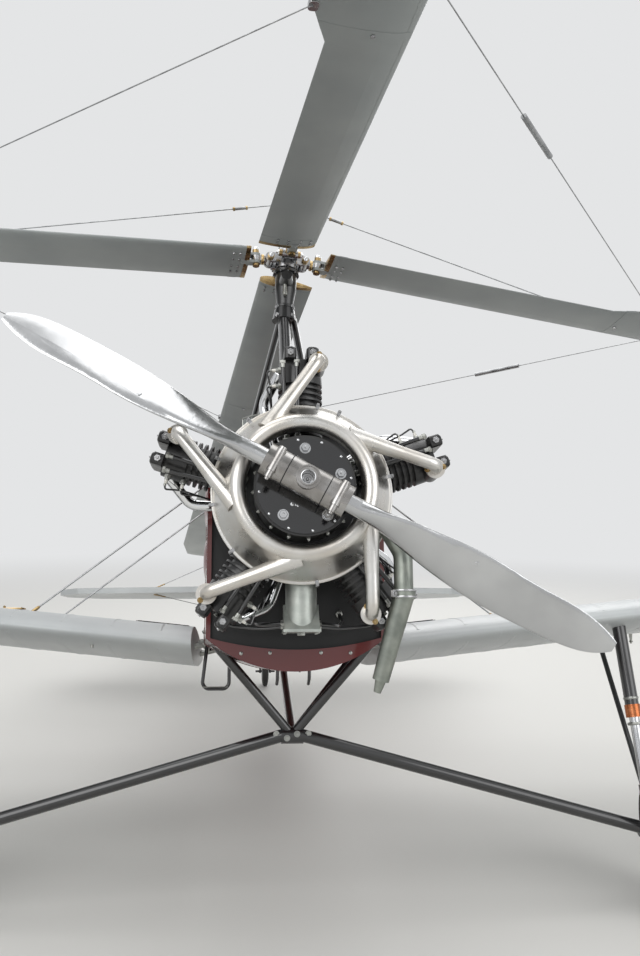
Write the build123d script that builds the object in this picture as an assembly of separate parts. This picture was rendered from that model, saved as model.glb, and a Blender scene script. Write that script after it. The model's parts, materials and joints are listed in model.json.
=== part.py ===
from build123d import *
from math import atan2, cos, radians, sin, tan
import os

os.makedirs("parts", exist_ok=True)

# Two-seat gyrocopter of about 1931: tractor engine with an open exhaust ring, low stub wings
# with turned-up tips, a free-turning rotor of four blades and a tail-wheel landing gear.
# The airframe is drawn in its own axes: origin on the thrust line in the propeller plane,
# x to the port side, y aft, z up, square to the thrust line. It is then stood on its wheels,
# with the new origin on the floor below the middle of the whole craft, rotor blades included.
# Lengths are millimetres.

parked_nose_up = 12.0
middle_ahead_of_hub = 110

# propeller
propeller_radius = 1170
propeller_angle = -28.4
barrel_radius = 57
barrel_length = 316
clamp_start = 72
clamp_bolt_place = 120
clamp_bolt_radius = 8
clamp_bolt_ahead = 43
clamp_seat = 40
nose_radius = 41
nose_reach = 66
nose_bore = 22
nose_bore_depth = 60
shaft_radius = 35
running_gap = 0.05
blade_shank_radius = 32

# engine
cylinder_count = 5
cylinder_station = 360
first_cylinder = 90
port_lag = 7
plate_radius = 178
plate_front = 82
case_front = 258
case_back = 480
case_radius = 205
fin_radius = 84
barrel_core_radius = 66
fin_count = 9
pushrod_radius = 8
cylinder_foot = 200
head_start = 432
head_end = 520
port_radius = 497
port_station = 236
port_boss_radius = 31
sump_radius = 57
sump_station = 330
sump_end = 495
sump_base_half = 63
sump_base_height = 100

# exhaust ring
ring_lip_radius = 205
ring_lip_station = 100
ring_flange_radius = 327
ring_flange_station = 250
ring_roll_width = 57
stub_radius = 24
stub_root_size = 34
stub_root_radius = 248
stub_root_lead = 40
stub_flange = 13

# fuselage
firewall_station = 620
cowl_end = 1100
tub_end = 3060
skin = 18
chin_depth = 84
mouth_depth = 22
flattest_belly = 2
firewall_thickness = 10
well_half_width = 265
well_length = 640
front_well = 1350
rear_well = 2270
well_corner = 110
coaming_width = 30
coaming_rise = 22

# rotor
rotor_radius = 5640
hub_station = 1400
hub_height = 1407
rotor_tilt_aft = 5.0
rotor_tilt_port = 2.5
rotor_droop = 4.0
rotor_azimuth = 7.1
blade_root = 196
blade_lead = 106
inboard_chord = 279
outboard_chord = 470
chord_step_start = 1717
chord_step_end = 2150
blade_thickness = 42
blade_pitch = 5.0
flap_pin_offset = 88
drag_pin_offset = 158
pin_radius = 11
apex_height = 345
stay_reach = 1800
tie_lead_reach = 2050
tie_trail_reach = 1890
stay_radius = 3
damper_start = 0.29
damper_end = 0.40
damper_radius = 12
head_depth = 250

# wing
wing_root = 425
wing_span = 3465
root_lead_station = 960
root_height = -514
dihedral = 6.0
incidence = 2.0
fitting_stations = (1330, 1980)
wire_span = 1250
wire_top = 300
aileron_start = 1450
aileron_end = 2500
aileron_hinge_station = 2020
aerofoil_crest = 0.32
hinge_pin_radius = 6

# undercarriage
wheel_track = 3320
axle_station = 1000
axle_height = -1300
tyre_radius = 330
tyre_width = 130
axle_radius = 19
vertex_station = 930
vertex_height = -893
leg_radius = 26
pyramid_tube_radius = 19
strut_top = (1480, 1090)
strut_joint = (0.47, 0.53)
drag_top_place = (1546, 1560)
tail_tyre_radius = 125
tail_axle_station = 5075
tail_trail = 55
fork_half_width = 42
tow_peg_radius = 9
tow_peg_length = 30
step_station = 1200
step_height = -708

# tail
tailplane_span = 1650
tail_hinge_station = 4760
tail_height = -15
rudder_hinge_station = 5060
rudder_end = 5540
rudder_top = 640
rudder_hinges = (-40, 430)
hinge_gap = 6
rudder_nose = 22
elevator_nose = 22
elevator_root = 105
tail_post = rudder_hinge_station - rudder_nose - hinge_gap
seat_gap = 0.3

lean = radians(parked_nose_up)
up = Vector(0, -sin(lean), cos(lean))
aft = Vector(0, cos(lean), sin(lean))
lift = tyre_radius + axle_station * sin(lean) - axle_height * cos(lean)
hub_floor_station = hub_station * cos(lean) + hub_height * sin(lean)
stand = Pos(0, middle_ahead_of_hub - hub_floor_station, lift) * Rot(X=-parked_nose_up)


def height_over_floor(station, height):
    return (height - lift + station * sin(lean)) / cos(lean)


def save(name, *shapes):
    solids = [s for shape in shapes for s in shape.solids()]
    export_step(Compound([stand * s for s in solids]), f"parts/{name}.step")


def rod(start, end, radius, end_radius=None):
    start, end = Vector(*start), Vector(*end)
    plane = Plane(origin=start, z_dir=end - start)
    length = (end - start).length
    if end_radius:
        return Part(Solid.make_cone(radius, end_radius, length, plane).wrapped)
    return Part(Solid.make_cylinder(radius, length, plane).wrapped)


def faired(start, end, chord, thickness):
    start, end = Vector(*start), Vector(*end)
    plane = Plane(origin=start, x_dir=(0, 1, 0), z_dir=end - start)
    return extrude(plane * Ellipse(chord / 2, thickness / 2), (end - start).length)


def bent_tube(points, bend, radius):
    path = FilletPolyline(*points, radius=bend) if len(points) > 2 else Polyline(*points)
    section = Plane(origin=path @ 0, z_dir=path % 0) * Circle(radius)
    return sweep(section, path=path)


def round_the_shaft(shape, angle):
    return Rot(Y=-angle) * shape


def aerofoil(chord, above, below, edge=3):
    # nose quarter ellipses, then one arc on each side to a blunt trailing edge
    x = aerofoil_crest * chord
    top = EllipticalCenterArc((x, 0), x, above, start_angle=90, arc_size=90)
    under = EllipticalCenterArc((x, 0), x, below, start_angle=180, arc_size=90)
    top_rear = TangentArc((x, above), (chord, edge / 2), tangent=(1, 0))
    under_rear = TangentArc((x, -below), (chord, -edge / 2), tangent=(1, 0))
    back = Line((chord, edge / 2), (chord, -edge / 2))
    return make_face(Wire([top.edge(), under.edge(), under_rear.edge(), back.edge(), top_rear.edge()]))


def largest(shape):
    return max(shape.solids(), key=lambda s: s.volume)


def block(low, high):
    size = [b - a for a, b in zip(low, high)]
    return Pos(*low) * Box(*size, align=(Align.MIN, Align.MIN, Align.MIN))


# fuselage

hull_stations = (
    # station, half width, top, shoulder, chine, bottom
    (firewall_station, 352, 350, 190, -505, -634),
    (cowl_end, 372, 380, 215, -515, -632),
    (2050, 380, 402, 235, -495, -596),
    (tub_end, 322, 372, 215, -415, -500),
    (4150, 175, 235, 140, -275, -330),
    (tail_post, 42, 118, 80, -185, -205),
)


def hull_wire(station, half_width, top, shoulder, chine, bottom):
    y = station
    crown = ThreePointArc((half_width, y, shoulder), (0, y, top), (-half_width, y, shoulder))
    belly = ThreePointArc((-half_width, y, chine), (0, y, bottom), (half_width, y, chine))
    left = Line((-half_width, y, shoulder), (-half_width, y, chine))
    right = Line((half_width, y, chine), (half_width, y, shoulder))
    return make_face(Wire([crown.edge(), left.edge(), belly.edge(), right.edge()]))


def hull(rise=0):
    # a rise above zero lifts the deck only
    rows = []
    for station, half_width, top, shoulder, chine, bottom in hull_stations:
        rows.append(hull_wire(station, half_width, top + rise, shoulder + rise, chine, bottom))
    return loft(rows)


def hollow(start, end, floor=skin, gap=0):
    # the space inside the skin between two stations, with its floor that far above the belly
    inner = []
    wall = skin + gap
    for station, half_width, top, shoulder, chine, bottom in hull_stations[:5]:
        low = min(bottom + floor + gap, chine - flattest_belly)
        inner.append(hull_wire(station, half_width - wall, top - wall, shoulder, chine, low))
    return loft(inner) & block((-500, start, -800), (500, end, 600))


def cabin():
    return hollow(cowl_end + skin, tub_end - skin)


def firewall():
    front = firewall_station + mouth_depth
    return hollow(front, front + firewall_thickness, chin_depth, seat_gap)


def well(start, grow=0):
    plan = RectangleRounded(2 * (well_half_width + grow), well_length + 2 * grow, well_corner + grow)
    return extrude(Plane.XY.offset(100) * (Pos(0, start + well_length / 2) * plan), 500)


def fuselage():
    body = hull()
    span = 1200
    cowl = body & block((-span, firewall_station, -span), (span, cowl_end, span))
    cowl -= hollow(firewall_station, cowl_end, chin_depth)
    tub = body & block((-span, cowl_end, -span), (span, tub_end, span))
    tub = tub - cabin() - well(front_well) - well(rear_well)
    tail = body & block((-span, tub_end, -span), (span, tail_post + 1, span))
    return cowl, tub, tail


def coaming_rolls():
    raised = hull(coaming_rise) - hull()
    rolls = []
    for start in (front_well, rear_well):
        band = well(start, coaming_width / 2) - well(start, -coaming_width / 2)
        rolls.append(raised & band)
    return rolls


# engine


def crankcase():
    nose = rod((0, plate_front + 8, 0), (0, case_front, 0), plate_radius)
    main = rod((0, case_front, 0), (0, case_back, 0), case_radius)
    rear = rod((0, case_back, 0), (0, case_back + 60, 0), case_radius - 40, case_radius - 80)
    bore = rod((0, plate_front - 5, 0), (0, case_front - 40, 0), shaft_radius + running_gap)
    return nose + main + rear - bore


def nose_plate():
    disc = rod((0, plate_front, 0), (0, plate_front + 8, 0), plate_radius - 8)
    hole = rod((0, plate_front - 5, 0), (0, plate_front + 20, 0), shaft_radius + running_gap)
    plate = disc - hole
    for k in range(5):
        angle = first_cylinder + 72 * k
        nut = Plane(origin=(0, plate_front, 0), x_dir=(1, 0, 0), z_dir=(0, -1, 0))
        plate += round_the_shaft(Pos(130, 0, 0) * (nut * extrude(RegularPolygon(13, 6), 14)), angle)
    return plate


def cylinder():
    # drawn along +x, then turned round the shaft
    pitch = (head_start - cylinder_foot - 30) / fin_count
    profile = [(cylinder_foot, 0), (cylinder_foot, fin_radius), (cylinder_foot + 14, fin_radius),
               (cylinder_foot + 14, barrel_core_radius)]
    for k in range(fin_count):
        start = cylinder_foot + 30 + k * pitch
        profile += [(start, barrel_core_radius), (start, fin_radius)]
        profile += [(start + 0.35 * pitch, fin_radius), (start + 0.35 * pitch, barrel_core_radius)]
    profile += [(head_start, barrel_core_radius), (head_start, fin_radius)]
    profile += [(head_end, fin_radius - 4), (head_end, 0)]
    barrel = revolve(make_face(Polyline(*profile, close=True)), Axis.X)
    boxes = []
    for side in (-1, 1):
        box = Pos(head_end + 15, -36, side * 42) * Box(38, 152, 46)
        boxes.append(fillet(box.edges().filter_by(Axis.X), 14))
    shape = Pos(0, cylinder_station, 0) * (barrel + boxes[0] + boxes[1])
    boss_front = on_shaft_circle(port_radius, -port_lag, port_station)
    boss_back = on_shaft_circle(port_radius, -port_lag, cylinder_station - 20)
    return shape + rod(boss_front, boss_back, port_boss_radius)


def cylinder_at(angle):
    return round_the_shaft(cylinder(), angle) - crankcase()


def cylinders():
    return [cylinder_at(first_cylinder - 72 * k) for k in range(cylinder_count)]


def on_shaft_circle(radius, angle, station):
    return (radius * cos(radians(angle)), station, radius * sin(radians(angle)))


def pushrods():
    rods = []
    for k in range(cylinder_count):
        angle = first_cylinder - 72 * k
        for foot_lead, top_lead in ((4, 2), (15, 8)):
            station = cylinder_station - fin_radius - 9
            foot = on_shaft_circle(case_radius - 4, angle + foot_lead, station)
            top = on_shaft_circle(head_end - 4, angle + top_lead, station)
            rods.append(rod(foot, top, pushrod_radius) - crankcase() - cylinder_at(angle))
    return rods


def exhaust_ring():
    # section: a round roll at the lip, then a straight cone back to the clip flange
    lip, flange = ring_lip_radius, ring_flange_radius
    front, back = ring_lip_station, ring_flange_station
    roll_end = (lip + ring_roll_width, front + 10)
    rim = flange - 6
    lip_edge = (lip, front + 22)
    corners = [roll_end, (rim, back - 12), (flange, back - 12), (flange, back), (rim - 14, back),
               (lip, front + 44), lip_edge]
    edges = [TangentArc(lip_edge, roll_end, tangent=(0, -1)).edge()]
    edges += [Line(a, b).edge() for a, b in zip(corners, corners[1:])]
    outline = Wire(edges)
    ring = revolve(make_face(outline), Axis.Y)
    for k in range(cylinder_count):
        port = first_cylinder - port_lag - 72 * k
        root = on_shaft_circle(stub_root_radius, port + stub_root_lead, front + 34)
        corner = on_shaft_circle(port_radius, port, port_station - 58)
        seat = on_shaft_circle(port_radius, port, port_station)
        waist = Vector(*root) + (Vector(*corner) - Vector(*root)) * 0.6
        ring += rod(root, waist, stub_root_size, stub_radius)
        ring += bent_tube([root, corner, seat], 40, stub_radius)
        ring += rod(on_shaft_circle(port_radius, port, port_station - 9), seat, stub_radius + stub_flange)
    for solid in cylinders():
        ring -= solid
    return largest(ring)


def exhaust_tail_pipe():
    start, corner, joint = (275, 186, -95), (353, 186, -225), (353, 186, -370)
    foot, tip = Vector(274, 248, -664), Vector(262, 256, -706)
    elbow = bent_tube([start, corner, joint], 80, 34)
    clamp = rod((353, 186, -352), (352, 187, -384), 42)
    pipe = rod(joint, foot, 38, 30)
    nipple = rod(foot, tip, 20, 13)
    return largest(elbow + clamp + pipe + nipple - exhaust_ring())


def oil_sump():
    # a can that stands in a square base; the front of the base slopes, so the can leaves it in a U
    neck = rod((0, sump_station, -case_radius + 6), (0, sump_station, -290), 35)
    can = rod((0, sump_station, -290), (0, sump_station, -sump_end + 10), sump_radius)
    front, back = sump_station - sump_radius - 8, sump_station + sump_radius + 8
    top = -sump_end + sump_base_height
    side = Polyline((0, front, -sump_end + 10), (0, sump_station, top), (0, back, top),
                    (0, back, -sump_end + 10), close=True)
    base = extrude(make_face(side), sump_base_half, both=True, dir=(1, 0, 0))
    wide = sump_base_half + 4
    plate = block((-wide, front - 6, -sump_end), (wide, back + 6, -sump_end + 10))
    return neck + can + base + plate - crankcase()


def intake_pipes():
    pipes = []
    for k in range(cylinder_count):
        angle = first_cylinder - 72 * k + 14
        points = [
            on_shaft_circle(case_radius - 6, angle + 10, case_back - 40),
            on_shaft_circle(head_end - 110, angle + 6, case_back - 40),
            on_shaft_circle(head_end - 25, angle - 5, cylinder_station + 20),
        ]
        pipe = bent_tube(points, 60, 20) - crankcase() - cylinder_at(angle - 14)
        pipes.append(largest(pipe))
    return pipes


def engine_mount():
    ring = revolve(Plane.XY * (Pos(case_radius + 30, case_back + 8) * Circle(16)), Axis.Y)
    struts = []
    for x, z in ((250, 190), (-250, 190), (250, -330), (-250, -330)):
        angle = atan2(z, x)
        foot = Vector(x, firewall_station + mouth_depth, z)
        top = Vector((case_radius + 30) * cos(angle), case_back + 8, (case_radius + 30) * sin(angle))
        strut = rod(top, foot + (foot - top) * 0.3, 14) - block((-500, foot.Y, -800), (500, foot.Y + 200, 600))
        struts.append(largest(strut))
    for strut in struts:
        ring += strut
    web = rod((0, case_back, 0), (0, case_back + 14, 0), case_radius + 30)
    return ring + web - crankcase()


# propeller


def propeller_hub():
    # barrel with a clamp on each half, drawn together by one bolt square to the blades
    barrel = rod((-barrel_length / 2, 0, 0), (barrel_length / 2, 0, 0), barrel_radius)
    for side in (-1, 1):
        groove = rod((side * clamp_start, 0, 0), (side * (clamp_start + 4), 0, 0), barrel_radius + 20)
        barrel -= groove - rod((side * 60, 0, 0), (side * 90, 0, 0), barrel_radius - 5)
        x, y = side * clamp_bolt_place, -clamp_bolt_ahead
        barrel += rod((x, y, -clamp_seat), (x, y, clamp_seat), 17)
        barrel += rod((x, y, clamp_seat), (x, y, clamp_seat + 12), 14)
        barrel += rod((x, y, -clamp_seat - 24), (x, y, -clamp_seat), 13)
        barrel += rod((x, y, -clamp_seat - 32), (x, y, -clamp_seat - 24), clamp_bolt_radius)
    nose = rod((0, 0, 0), (0, -nose_reach, 0), nose_radius)
    shaft = rod((0, 0, 0), (0, case_front - 45, 0), shaft_radius)
    bore = rod((0, -nose_reach, 0), (0, -nose_reach + nose_bore_depth, 0), nose_bore)
    rim = rod((0, -nose_reach, 0), (0, -nose_reach + 5, 0), nose_radius - 5)
    rim -= rod((0, -nose_reach, 0), (0, -nose_reach + 5, 0), nose_bore + 8)
    socket = rod((-barrel_length, 0, 0), (-60, 0, 0), blade_shank_radius)
    socket += rod((barrel_length, 0, 0), (60, 0, 0), blade_shank_radius)
    return barrel + nose + shaft - bore - rim - socket


blade_stations = (
    # distance out, chord, thickness, pitch angle, leading edge share
    (240, 74, 58, 62, 0.5),
    (420, 132, 40, 46, 0.46),
    (680, 172, 25, 33, 0.42),
    (940, 150, 16, 25, 0.40),
    (1095, 106, 10, 21, 0.40),
    (propeller_radius, 34, 5, 20, 0.42),
)


def propeller_blade():
    # along +x: the leading edge points up and forward
    shank = rod((60, 0, 0), (200, 0, 0), blade_shank_radius)
    sections = [Plane(origin=(200, 0, 0), x_dir=(0, 0, 1), z_dir=(1, 0, 0)) * Circle(blade_shank_radius)]
    for out, chord, thickness, pitch, lead in blade_stations:
        edge = (0, -sin(radians(pitch)), cos(radians(pitch)))
        plane = Plane(origin=(out, 0, 0), x_dir=edge, z_dir=(1, 0, 0))
        shift = (lead - 0.5) * chord
        sections.append(plane * (Pos(shift, 0) * Ellipse(chord / 2, thickness / 2)))
    return shank + loft(sections)


def propeller():
    hub = Rot(Y=-propeller_angle) * propeller_hub()
    blade = propeller_blade()
    turned = [Rot(Y=-propeller_angle) * blade, Rot(Y=180 - propeller_angle) * blade]
    return hub, turned


# rotor

rotor_place = Pos(0, hub_station, hub_height) * Rot(Y=rotor_tilt_port) * Rot(X=-rotor_tilt_aft)


def around_rotor(shape, quarter):
    return rotor_place * (Rot(Z=rotor_azimuth - 90 + 90 * quarter) * shape)


def rotor_hub():
    # drawn in rotor axes with its spindle along z, arms along +x and every quarter turn
    core = rod((0, 0, -48), (0, 0, 50), 56)
    spindle = rod((0, 0, -190), (0, 0, -48), 30)
    hub = core + spindle
    for quarter in range(4):
        for side in (-1, 1):
            lug = block((0, side * 33 - 6, -26), (flap_pin_offset, side * 33 + 6, 26))
            lug += rod((flap_pin_offset, side * 33 - 6, 0), (flap_pin_offset, side * 33 + 6, 0), 26)
            lug -= rod((flap_pin_offset, -60, 0), (flap_pin_offset, 60, 0), pin_radius + seat_gap)
            hub += Rot(Z=90 * quarter) * lug
    return rotor_place * (Rot(Z=rotor_azimuth) * hub)


def blade_link():
    eye = rod((flap_pin_offset, -26.5, 0), (flap_pin_offset, 26.5, 0), 22)
    arm = Pos(flap_pin_offset, 0, 0) * Box(
        drag_pin_offset - flap_pin_offset, 34, 26, align=(Align.MIN, Align.CENTER, Align.CENTER))
    end = rod((drag_pin_offset, 0, -13), (drag_pin_offset, 0, 13), 24)
    holes = rod((flap_pin_offset, -60, 0), (flap_pin_offset, 60, 0), pin_radius + seat_gap)
    holes += rod((drag_pin_offset, 0, -60), (drag_pin_offset, 0, 60), pin_radius + seat_gap)
    return eye + arm + end - holes


def hinge_pins():
    flap = rod((flap_pin_offset, -52, 0), (flap_pin_offset, 52, 0), pin_radius)
    flap += rod((flap_pin_offset, 40, 0), (flap_pin_offset, 54, 0), 17)
    flap += rod((flap_pin_offset, -40, 0), (flap_pin_offset, -54, 0), 17)
    drag = rod((drag_pin_offset, 0, -36), (drag_pin_offset, 0, 44), pin_radius)
    drag += rod((drag_pin_offset, 0, 28), (drag_pin_offset, 0, 50), 17)
    drag += rod((drag_pin_offset, 0, -28), (drag_pin_offset, 0, -40), 17)
    return flap, drag


def drooped(shape):
    return Pos(flap_pin_offset, 0, 0) * Rot(Y=rotor_droop) * Pos(-flap_pin_offset, 0, 0) * shape


def blade_chord(out):
    step = (out - chord_step_start) / (chord_step_end - chord_step_start)
    return inboard_chord + (outboard_chord - inboard_chord) * min(max(step, 0), 1)


def on_blade(out, across):
    return (drooped(Rot(X=blade_pitch) * Pos(out, across, 0))).position


def rotor_blade():
    # span along +x, leading edge at +y
    rows = (
        # distance out, chord, half thickness
        (blade_root, inboard_chord, blade_thickness / 2),
        (chord_step_start, inboard_chord, blade_thickness / 2),
        (chord_step_end, outboard_chord, blade_thickness / 2 + 6),
        (rotor_radius - 330, outboard_chord, blade_thickness / 2 + 4),
        (rotor_radius - 90, outboard_chord * 0.8, blade_thickness / 2 - 4),
        (rotor_radius, outboard_chord * 0.42, 5),
    )
    sections = []
    for out, chord, half in rows:
        lead = blade_lead - max(0, out - rotor_radius + 330) * 0.2
        plane = Plane(origin=(out, lead, 0), x_dir=(0, -1, 0), z_dir=(1, 0, 0))
        sections.append(plane * aerofoil(chord, half, half))
    blade = Rot(X=blade_pitch) * loft(sections, ruled=True)
    fork = Part() + rod((drag_pin_offset, 0, 13.3), (drag_pin_offset, 0, 27), 24)
    fork += rod((drag_pin_offset, 0, -27), (drag_pin_offset, 0, -13.3), 24)
    for side in (-1, 1):
        cheek = Pos(drag_pin_offset, 0, side * 20.15) * Box(
            48, 40, 13.7, align=(Align.MIN, Align.CENTER, Align.CENTER))
        fork += cheek
    fork += rod((drag_pin_offset + 34, 0, 0), (blade_root + 40, 0, 0), 27)
    fork -= rod((drag_pin_offset, 0, -60), (drag_pin_offset, 0, 60), pin_radius + seat_gap)
    return blade + fork


def droop_mast():
    post = rod((0, 0, 50), (0, 0, apex_height - 20), 16, 12)
    post += rod((0, 0, apex_height - 24), (0, 0, apex_height), 26)
    ear = Pos(0, 0, apex_height) * Box(34, 12, 44, align=(Align.CENTER, Align.CENTER, Align.MIN))
    ear -= rod((0, -20, apex_height + 26), (0, 20, apex_height + 26), 11)
    return post + ear


def droop_stays():
    stays = []
    blade = drooped(rotor_blade())
    for quarter in range(4):
        top = Vector(24, 0, apex_height - 12)
        end = on_blade(stay_reach, -30)
        along = (end - top).normalized()
        stay = rod(top, end, stay_radius)
        stay += rod(top + along * 205, top + along * 265, 8)
        stay += rod(end - along * 90, end, 6)
        stay = largest(stay - blade - droop_mast())
        stays.append(around_rotor(stay, quarter))
    return stays


def blade_ties():
    # from the leading edge of each blade to the trailing edge of the next
    ties = []
    blades = [around_rotor(drooped(rotor_blade()), quarter) for quarter in range(4)]
    for quarter in range(4):
        ahead = (quarter + 1) % 4
        lead = Pos(on_blade(tie_lead_reach, blade_lead - 4))
        trail = Pos(on_blade(tie_trail_reach, blade_lead - blade_chord(tie_trail_reach) + 4))
        start = around_rotor(lead, quarter).position
        end = around_rotor(trail, ahead).position
        span = end - start
        tie = rod(start, end, stay_radius - 0.5)
        tie += rod(start + span * damper_start, start + span * damper_end, damper_radius)
        tie = largest(tie - blades[quarter] - blades[ahead])
        ties.append(tie)
    return ties


def rotor_head():
    housing = rod((0, 0, -160), (0, 0, -58), 54)
    housing += rod((0, 0, -76), (0, 0, -62), 66)
    housing += rod((0, 0, -head_depth), (0, 0, -160), 40, 54)
    gear = rod((0, -40, -130), (0, -110, -130), 36, 26)
    housing += gear
    housing -= rod((0, 0, -195), (0, 0, -40), 30 + running_gap)
    return rotor_place * housing


def pylon():
    crown_top = (rotor_place * Pos(0, 0, -head_depth)).position
    crown_low = (rotor_place * Pos(0, 0, -330)).position
    crown = rod(crown_top, crown_low, 46, 60)
    front = faired((0, 1090, 300), crown_low, 110, 62)
    legs = crown + front
    for side in (-1, 1):
        legs += faired((side * 300, 2180, 180), (side * 30, crown_low.Y + 15, crown_low.Z + 25), 76, 34)
    return legs


# wing

wing_stations = (
    # span, leading edge station, rise above the dihedral line, chord, above, below, cant
    (wing_root, root_lead_station, 0, 1430, 98, 74, 0),
    (2560, 1000, 0, 1330, 88, 64, 0),
    (3030, 1090, 75, 1080, 66, 46, 24),
    (3330, 1260, 260, 760, 48, 26, 50),
    (wing_span, 1420, 470, 420, 18, 12, 66),
)


def wing_height(span):
    return root_height + (span - wing_root) * tan(radians(dihedral))


def wing_body():
    sections = []
    for span, lead, rise, chord, above, below, cant in wing_stations:
        lean_out = radians(cant)
        normal = (cos(lean_out), 0, sin(lean_out))
        plane = Plane(origin=(span, lead, wing_height(span) + rise), x_dir=(0, 1, 0), z_dir=normal)
        sections.append(plane * (Rot(Z=-incidence) * aerofoil(chord, above, below)))
    inner = loft(sections[:2], ruled=True)
    tip = loft(sections[1:])
    return inner + tip


def wing_section(span):
    # lead, chord, above and below between the first two rows of the table
    inner, outer = wing_stations[0], wing_stations[1]
    share = (span - inner[0]) / (outer[0] - inner[0])
    lead, rise, chord, above, below = [a + share * (b - a) for a, b in zip(inner[1:6], outer[1:6])]
    return lead, chord, above, below


def aileron_axis(span):
    lead, chord, above, below = wing_section(span)
    aft_of_nose = aileron_hinge_station - lead
    left = 1 - ((aft_of_nose / chord - aerofoil_crest) / (1 - aerofoil_crest)) ** 2
    drop = aft_of_nose * tan(radians(incidence)) - (above - below) / 2 * left
    return (span, aileron_hinge_station, wing_height(span) - drop)


def aileron_nose(span):
    lead, chord, above, below = wing_section(span)
    left = 1 - (((aileron_hinge_station - lead) / chord - aerofoil_crest) / (1 - aerofoil_crest)) ** 2
    return (above + below) / 2 * left + 1.5


def wing_and_aileron():
    wing = wing_body()
    start, end = Vector(*aileron_axis(aileron_start)), Vector(*aileron_axis(aileron_end))
    along = (end - start).normalized()
    square = Plane(origin=start, x_dir=along, z_dir=along.cross(Vector(0, 1, 0)))
    length = (end - start).length
    noses = aileron_nose(aileron_start), aileron_nose(aileron_end)
    low_corner = (Align.MIN, Align.MIN, Align.CENTER)
    zone = square * Box(length, 900, 400, align=low_corner)
    aileron = (wing & zone) + rod(start, end, *noses)
    gap = hinge_gap
    slot = square * (Pos(-gap, 0, 0) * Box(length + 2 * gap, 900, 400, align=low_corner))
    slot += rod(start - along * gap, end + along * gap, noses[0] + gap, noses[1] + gap)
    wing = wing - slot
    for place, way in ((start, 1), (end, -1)):
        pin_from, pin_to = place - along * way * 30, place + along * way * 30
        wing += rod(pin_from, pin_to, hinge_pin_radius)
        aileron -= rod(pin_from, pin_to + along * way * 2, hinge_pin_radius + running_gap)
    return wing, aileron


def mirrored(shape):
    return mirror(shape, about=Plane.YZ)


def wing_fittings():
    lugs = []
    for station in fitting_stations:
        drop = (station - root_lead_station) * tan(radians(incidence))
        inner = (330, station, root_height - drop + 30)
        outer = (wing_root + 30, station, root_height - drop)
        lug = largest(faired(inner, outer, 46, 30) - hull() - wing_body())
        lugs += [lug, mirrored(lug)]
    return lugs


def brace_wires():
    wires = []
    for station in fitting_stations:
        low = (wire_span, station, wing_height(wire_span))
        high = (300, station, wire_top)
        wire = largest(rod(low, high, 4) - hull() - wing_body())
        wires += [wire, mirrored(wire)]
    return wires


# tail


def tail_plan(inner, outer, front_in, front_out, back):
    points = [(inner, front_in), (outer - 160, front_out), (outer, front_out + 170),
              (outer, back), (inner, back)]
    return make_face(Polyline(*points, close=True))


def tailplane():
    plan = tail_plan(0, tailplane_span, 4240, 4500, tail_hinge_station)
    half = extrude(Plane.XY.offset(tail_height) * plan, 22, both=True)
    return half + mirrored(half)


def elevators():
    rear = 5160
    hinge = (0, tail_hinge_station + elevator_nose + hinge_gap, tail_height)
    y = hinge[1]
    root = elevator_root
    points = [(root, y), (tailplane_span, y), (tailplane_span, y + 200), (tailplane_span - 260, rear),
              (root + 110, rear), (root, y + 110)]
    panel = extrude(Plane.XY.offset(tail_height) * make_face(Polyline(*points, close=True)), 15, both=True)
    nose = rod((root, y, tail_height), (tailplane_span, y, tail_height), elevator_nose)
    half = panel + nose
    tube = rod((-root - 1, y, tail_height), (root + 1, y, tail_height), 14)
    return half + mirrored(half) + tube


def fin():
    points = [(4330, 90), (4760, 500), (tail_post, rudder_top - 60), (tail_post, 60)]
    face = make_face(Polyline(*[(0, y, z) for y, z in points], close=True))
    return extrude(face, 20, both=True, dir=(1, 0, 0)) + rudder_hinge(rudder_hinges[1])


def rudder_hinge(height):
    y = rudder_hinge_station
    lug = block((-10, tail_post - 4, height - 11), (10, y, height + 11))
    lug += rod((0, y, height - 11), (0, y, height + 11), 14)
    return lug + rod((0, y, height - 40), (0, y, height + 40), 6)


def rudder_notches():
    y = rudder_hinge_station
    cuts = Part()
    for height in rudder_hinges:
        gap = 11 + hinge_gap
        cuts += rod((0, y, height - gap), (0, y, height + gap), 30)
        cuts += rod((0, y, height - 42), (0, y, height + 42), 6 + running_gap)
    return cuts


def rudder():
    y = rudder_hinge_station
    points = [(y, -190), (y + 330, -150), (rudder_end, 20), (rudder_end, 420), (y + 380, rudder_top - 60),
              (y + 200, rudder_top), (y, rudder_top)]
    face = make_face(Polyline(*[(0, b, c) for b, c in points], close=True))
    panel = extrude(face, 14, both=True, dir=(1, 0, 0))
    return panel + rod((0, y, -190), (0, y, rudder_top), rudder_nose) - rudder_notches()


# undercarriage


def axle_point(side):
    return Vector(side * wheel_track / 2, axle_station, axle_height)


pyramid_feet = (
    # across, station, height of the inner end of each tube
    (330, 800, -510),
    (-330, 800, -510),
    (335, 1150, -510),
    (-335, 1150, -510),
    (0, 1950, -560),
)


def gear_pyramid():
    vertex = Vector(0, vertex_station, vertex_height)
    shape = Part() + rod((-46, vertex_station, vertex_height), (46, vertex_station, vertex_height), 34)
    for foot in pyramid_feet:
        shape += rod(vertex, foot, pyramid_tube_radius)
    return largest(shape - hull())


def axle_legs():
    legs = []
    for side in (-1, 1):
        start = Vector(side * 40, vertex_station, vertex_height)
        end = axle_point(side) - Vector(side * 150, 0, 0)
        axle_start, axle_stop = end - Vector(side * 20, 0, 0), axle_point(side) + Vector(side * 78, 0, 0)
        leg = rod(start, end, leg_radius) + rod(axle_start, axle_stop, axle_radius)
        leg += rod(end - Vector(side * 26, 0, 0), end + Vector(side * 60, 0, 0), 34)
        legs.append(largest(leg - gear_pyramid()))
    return legs


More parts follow.
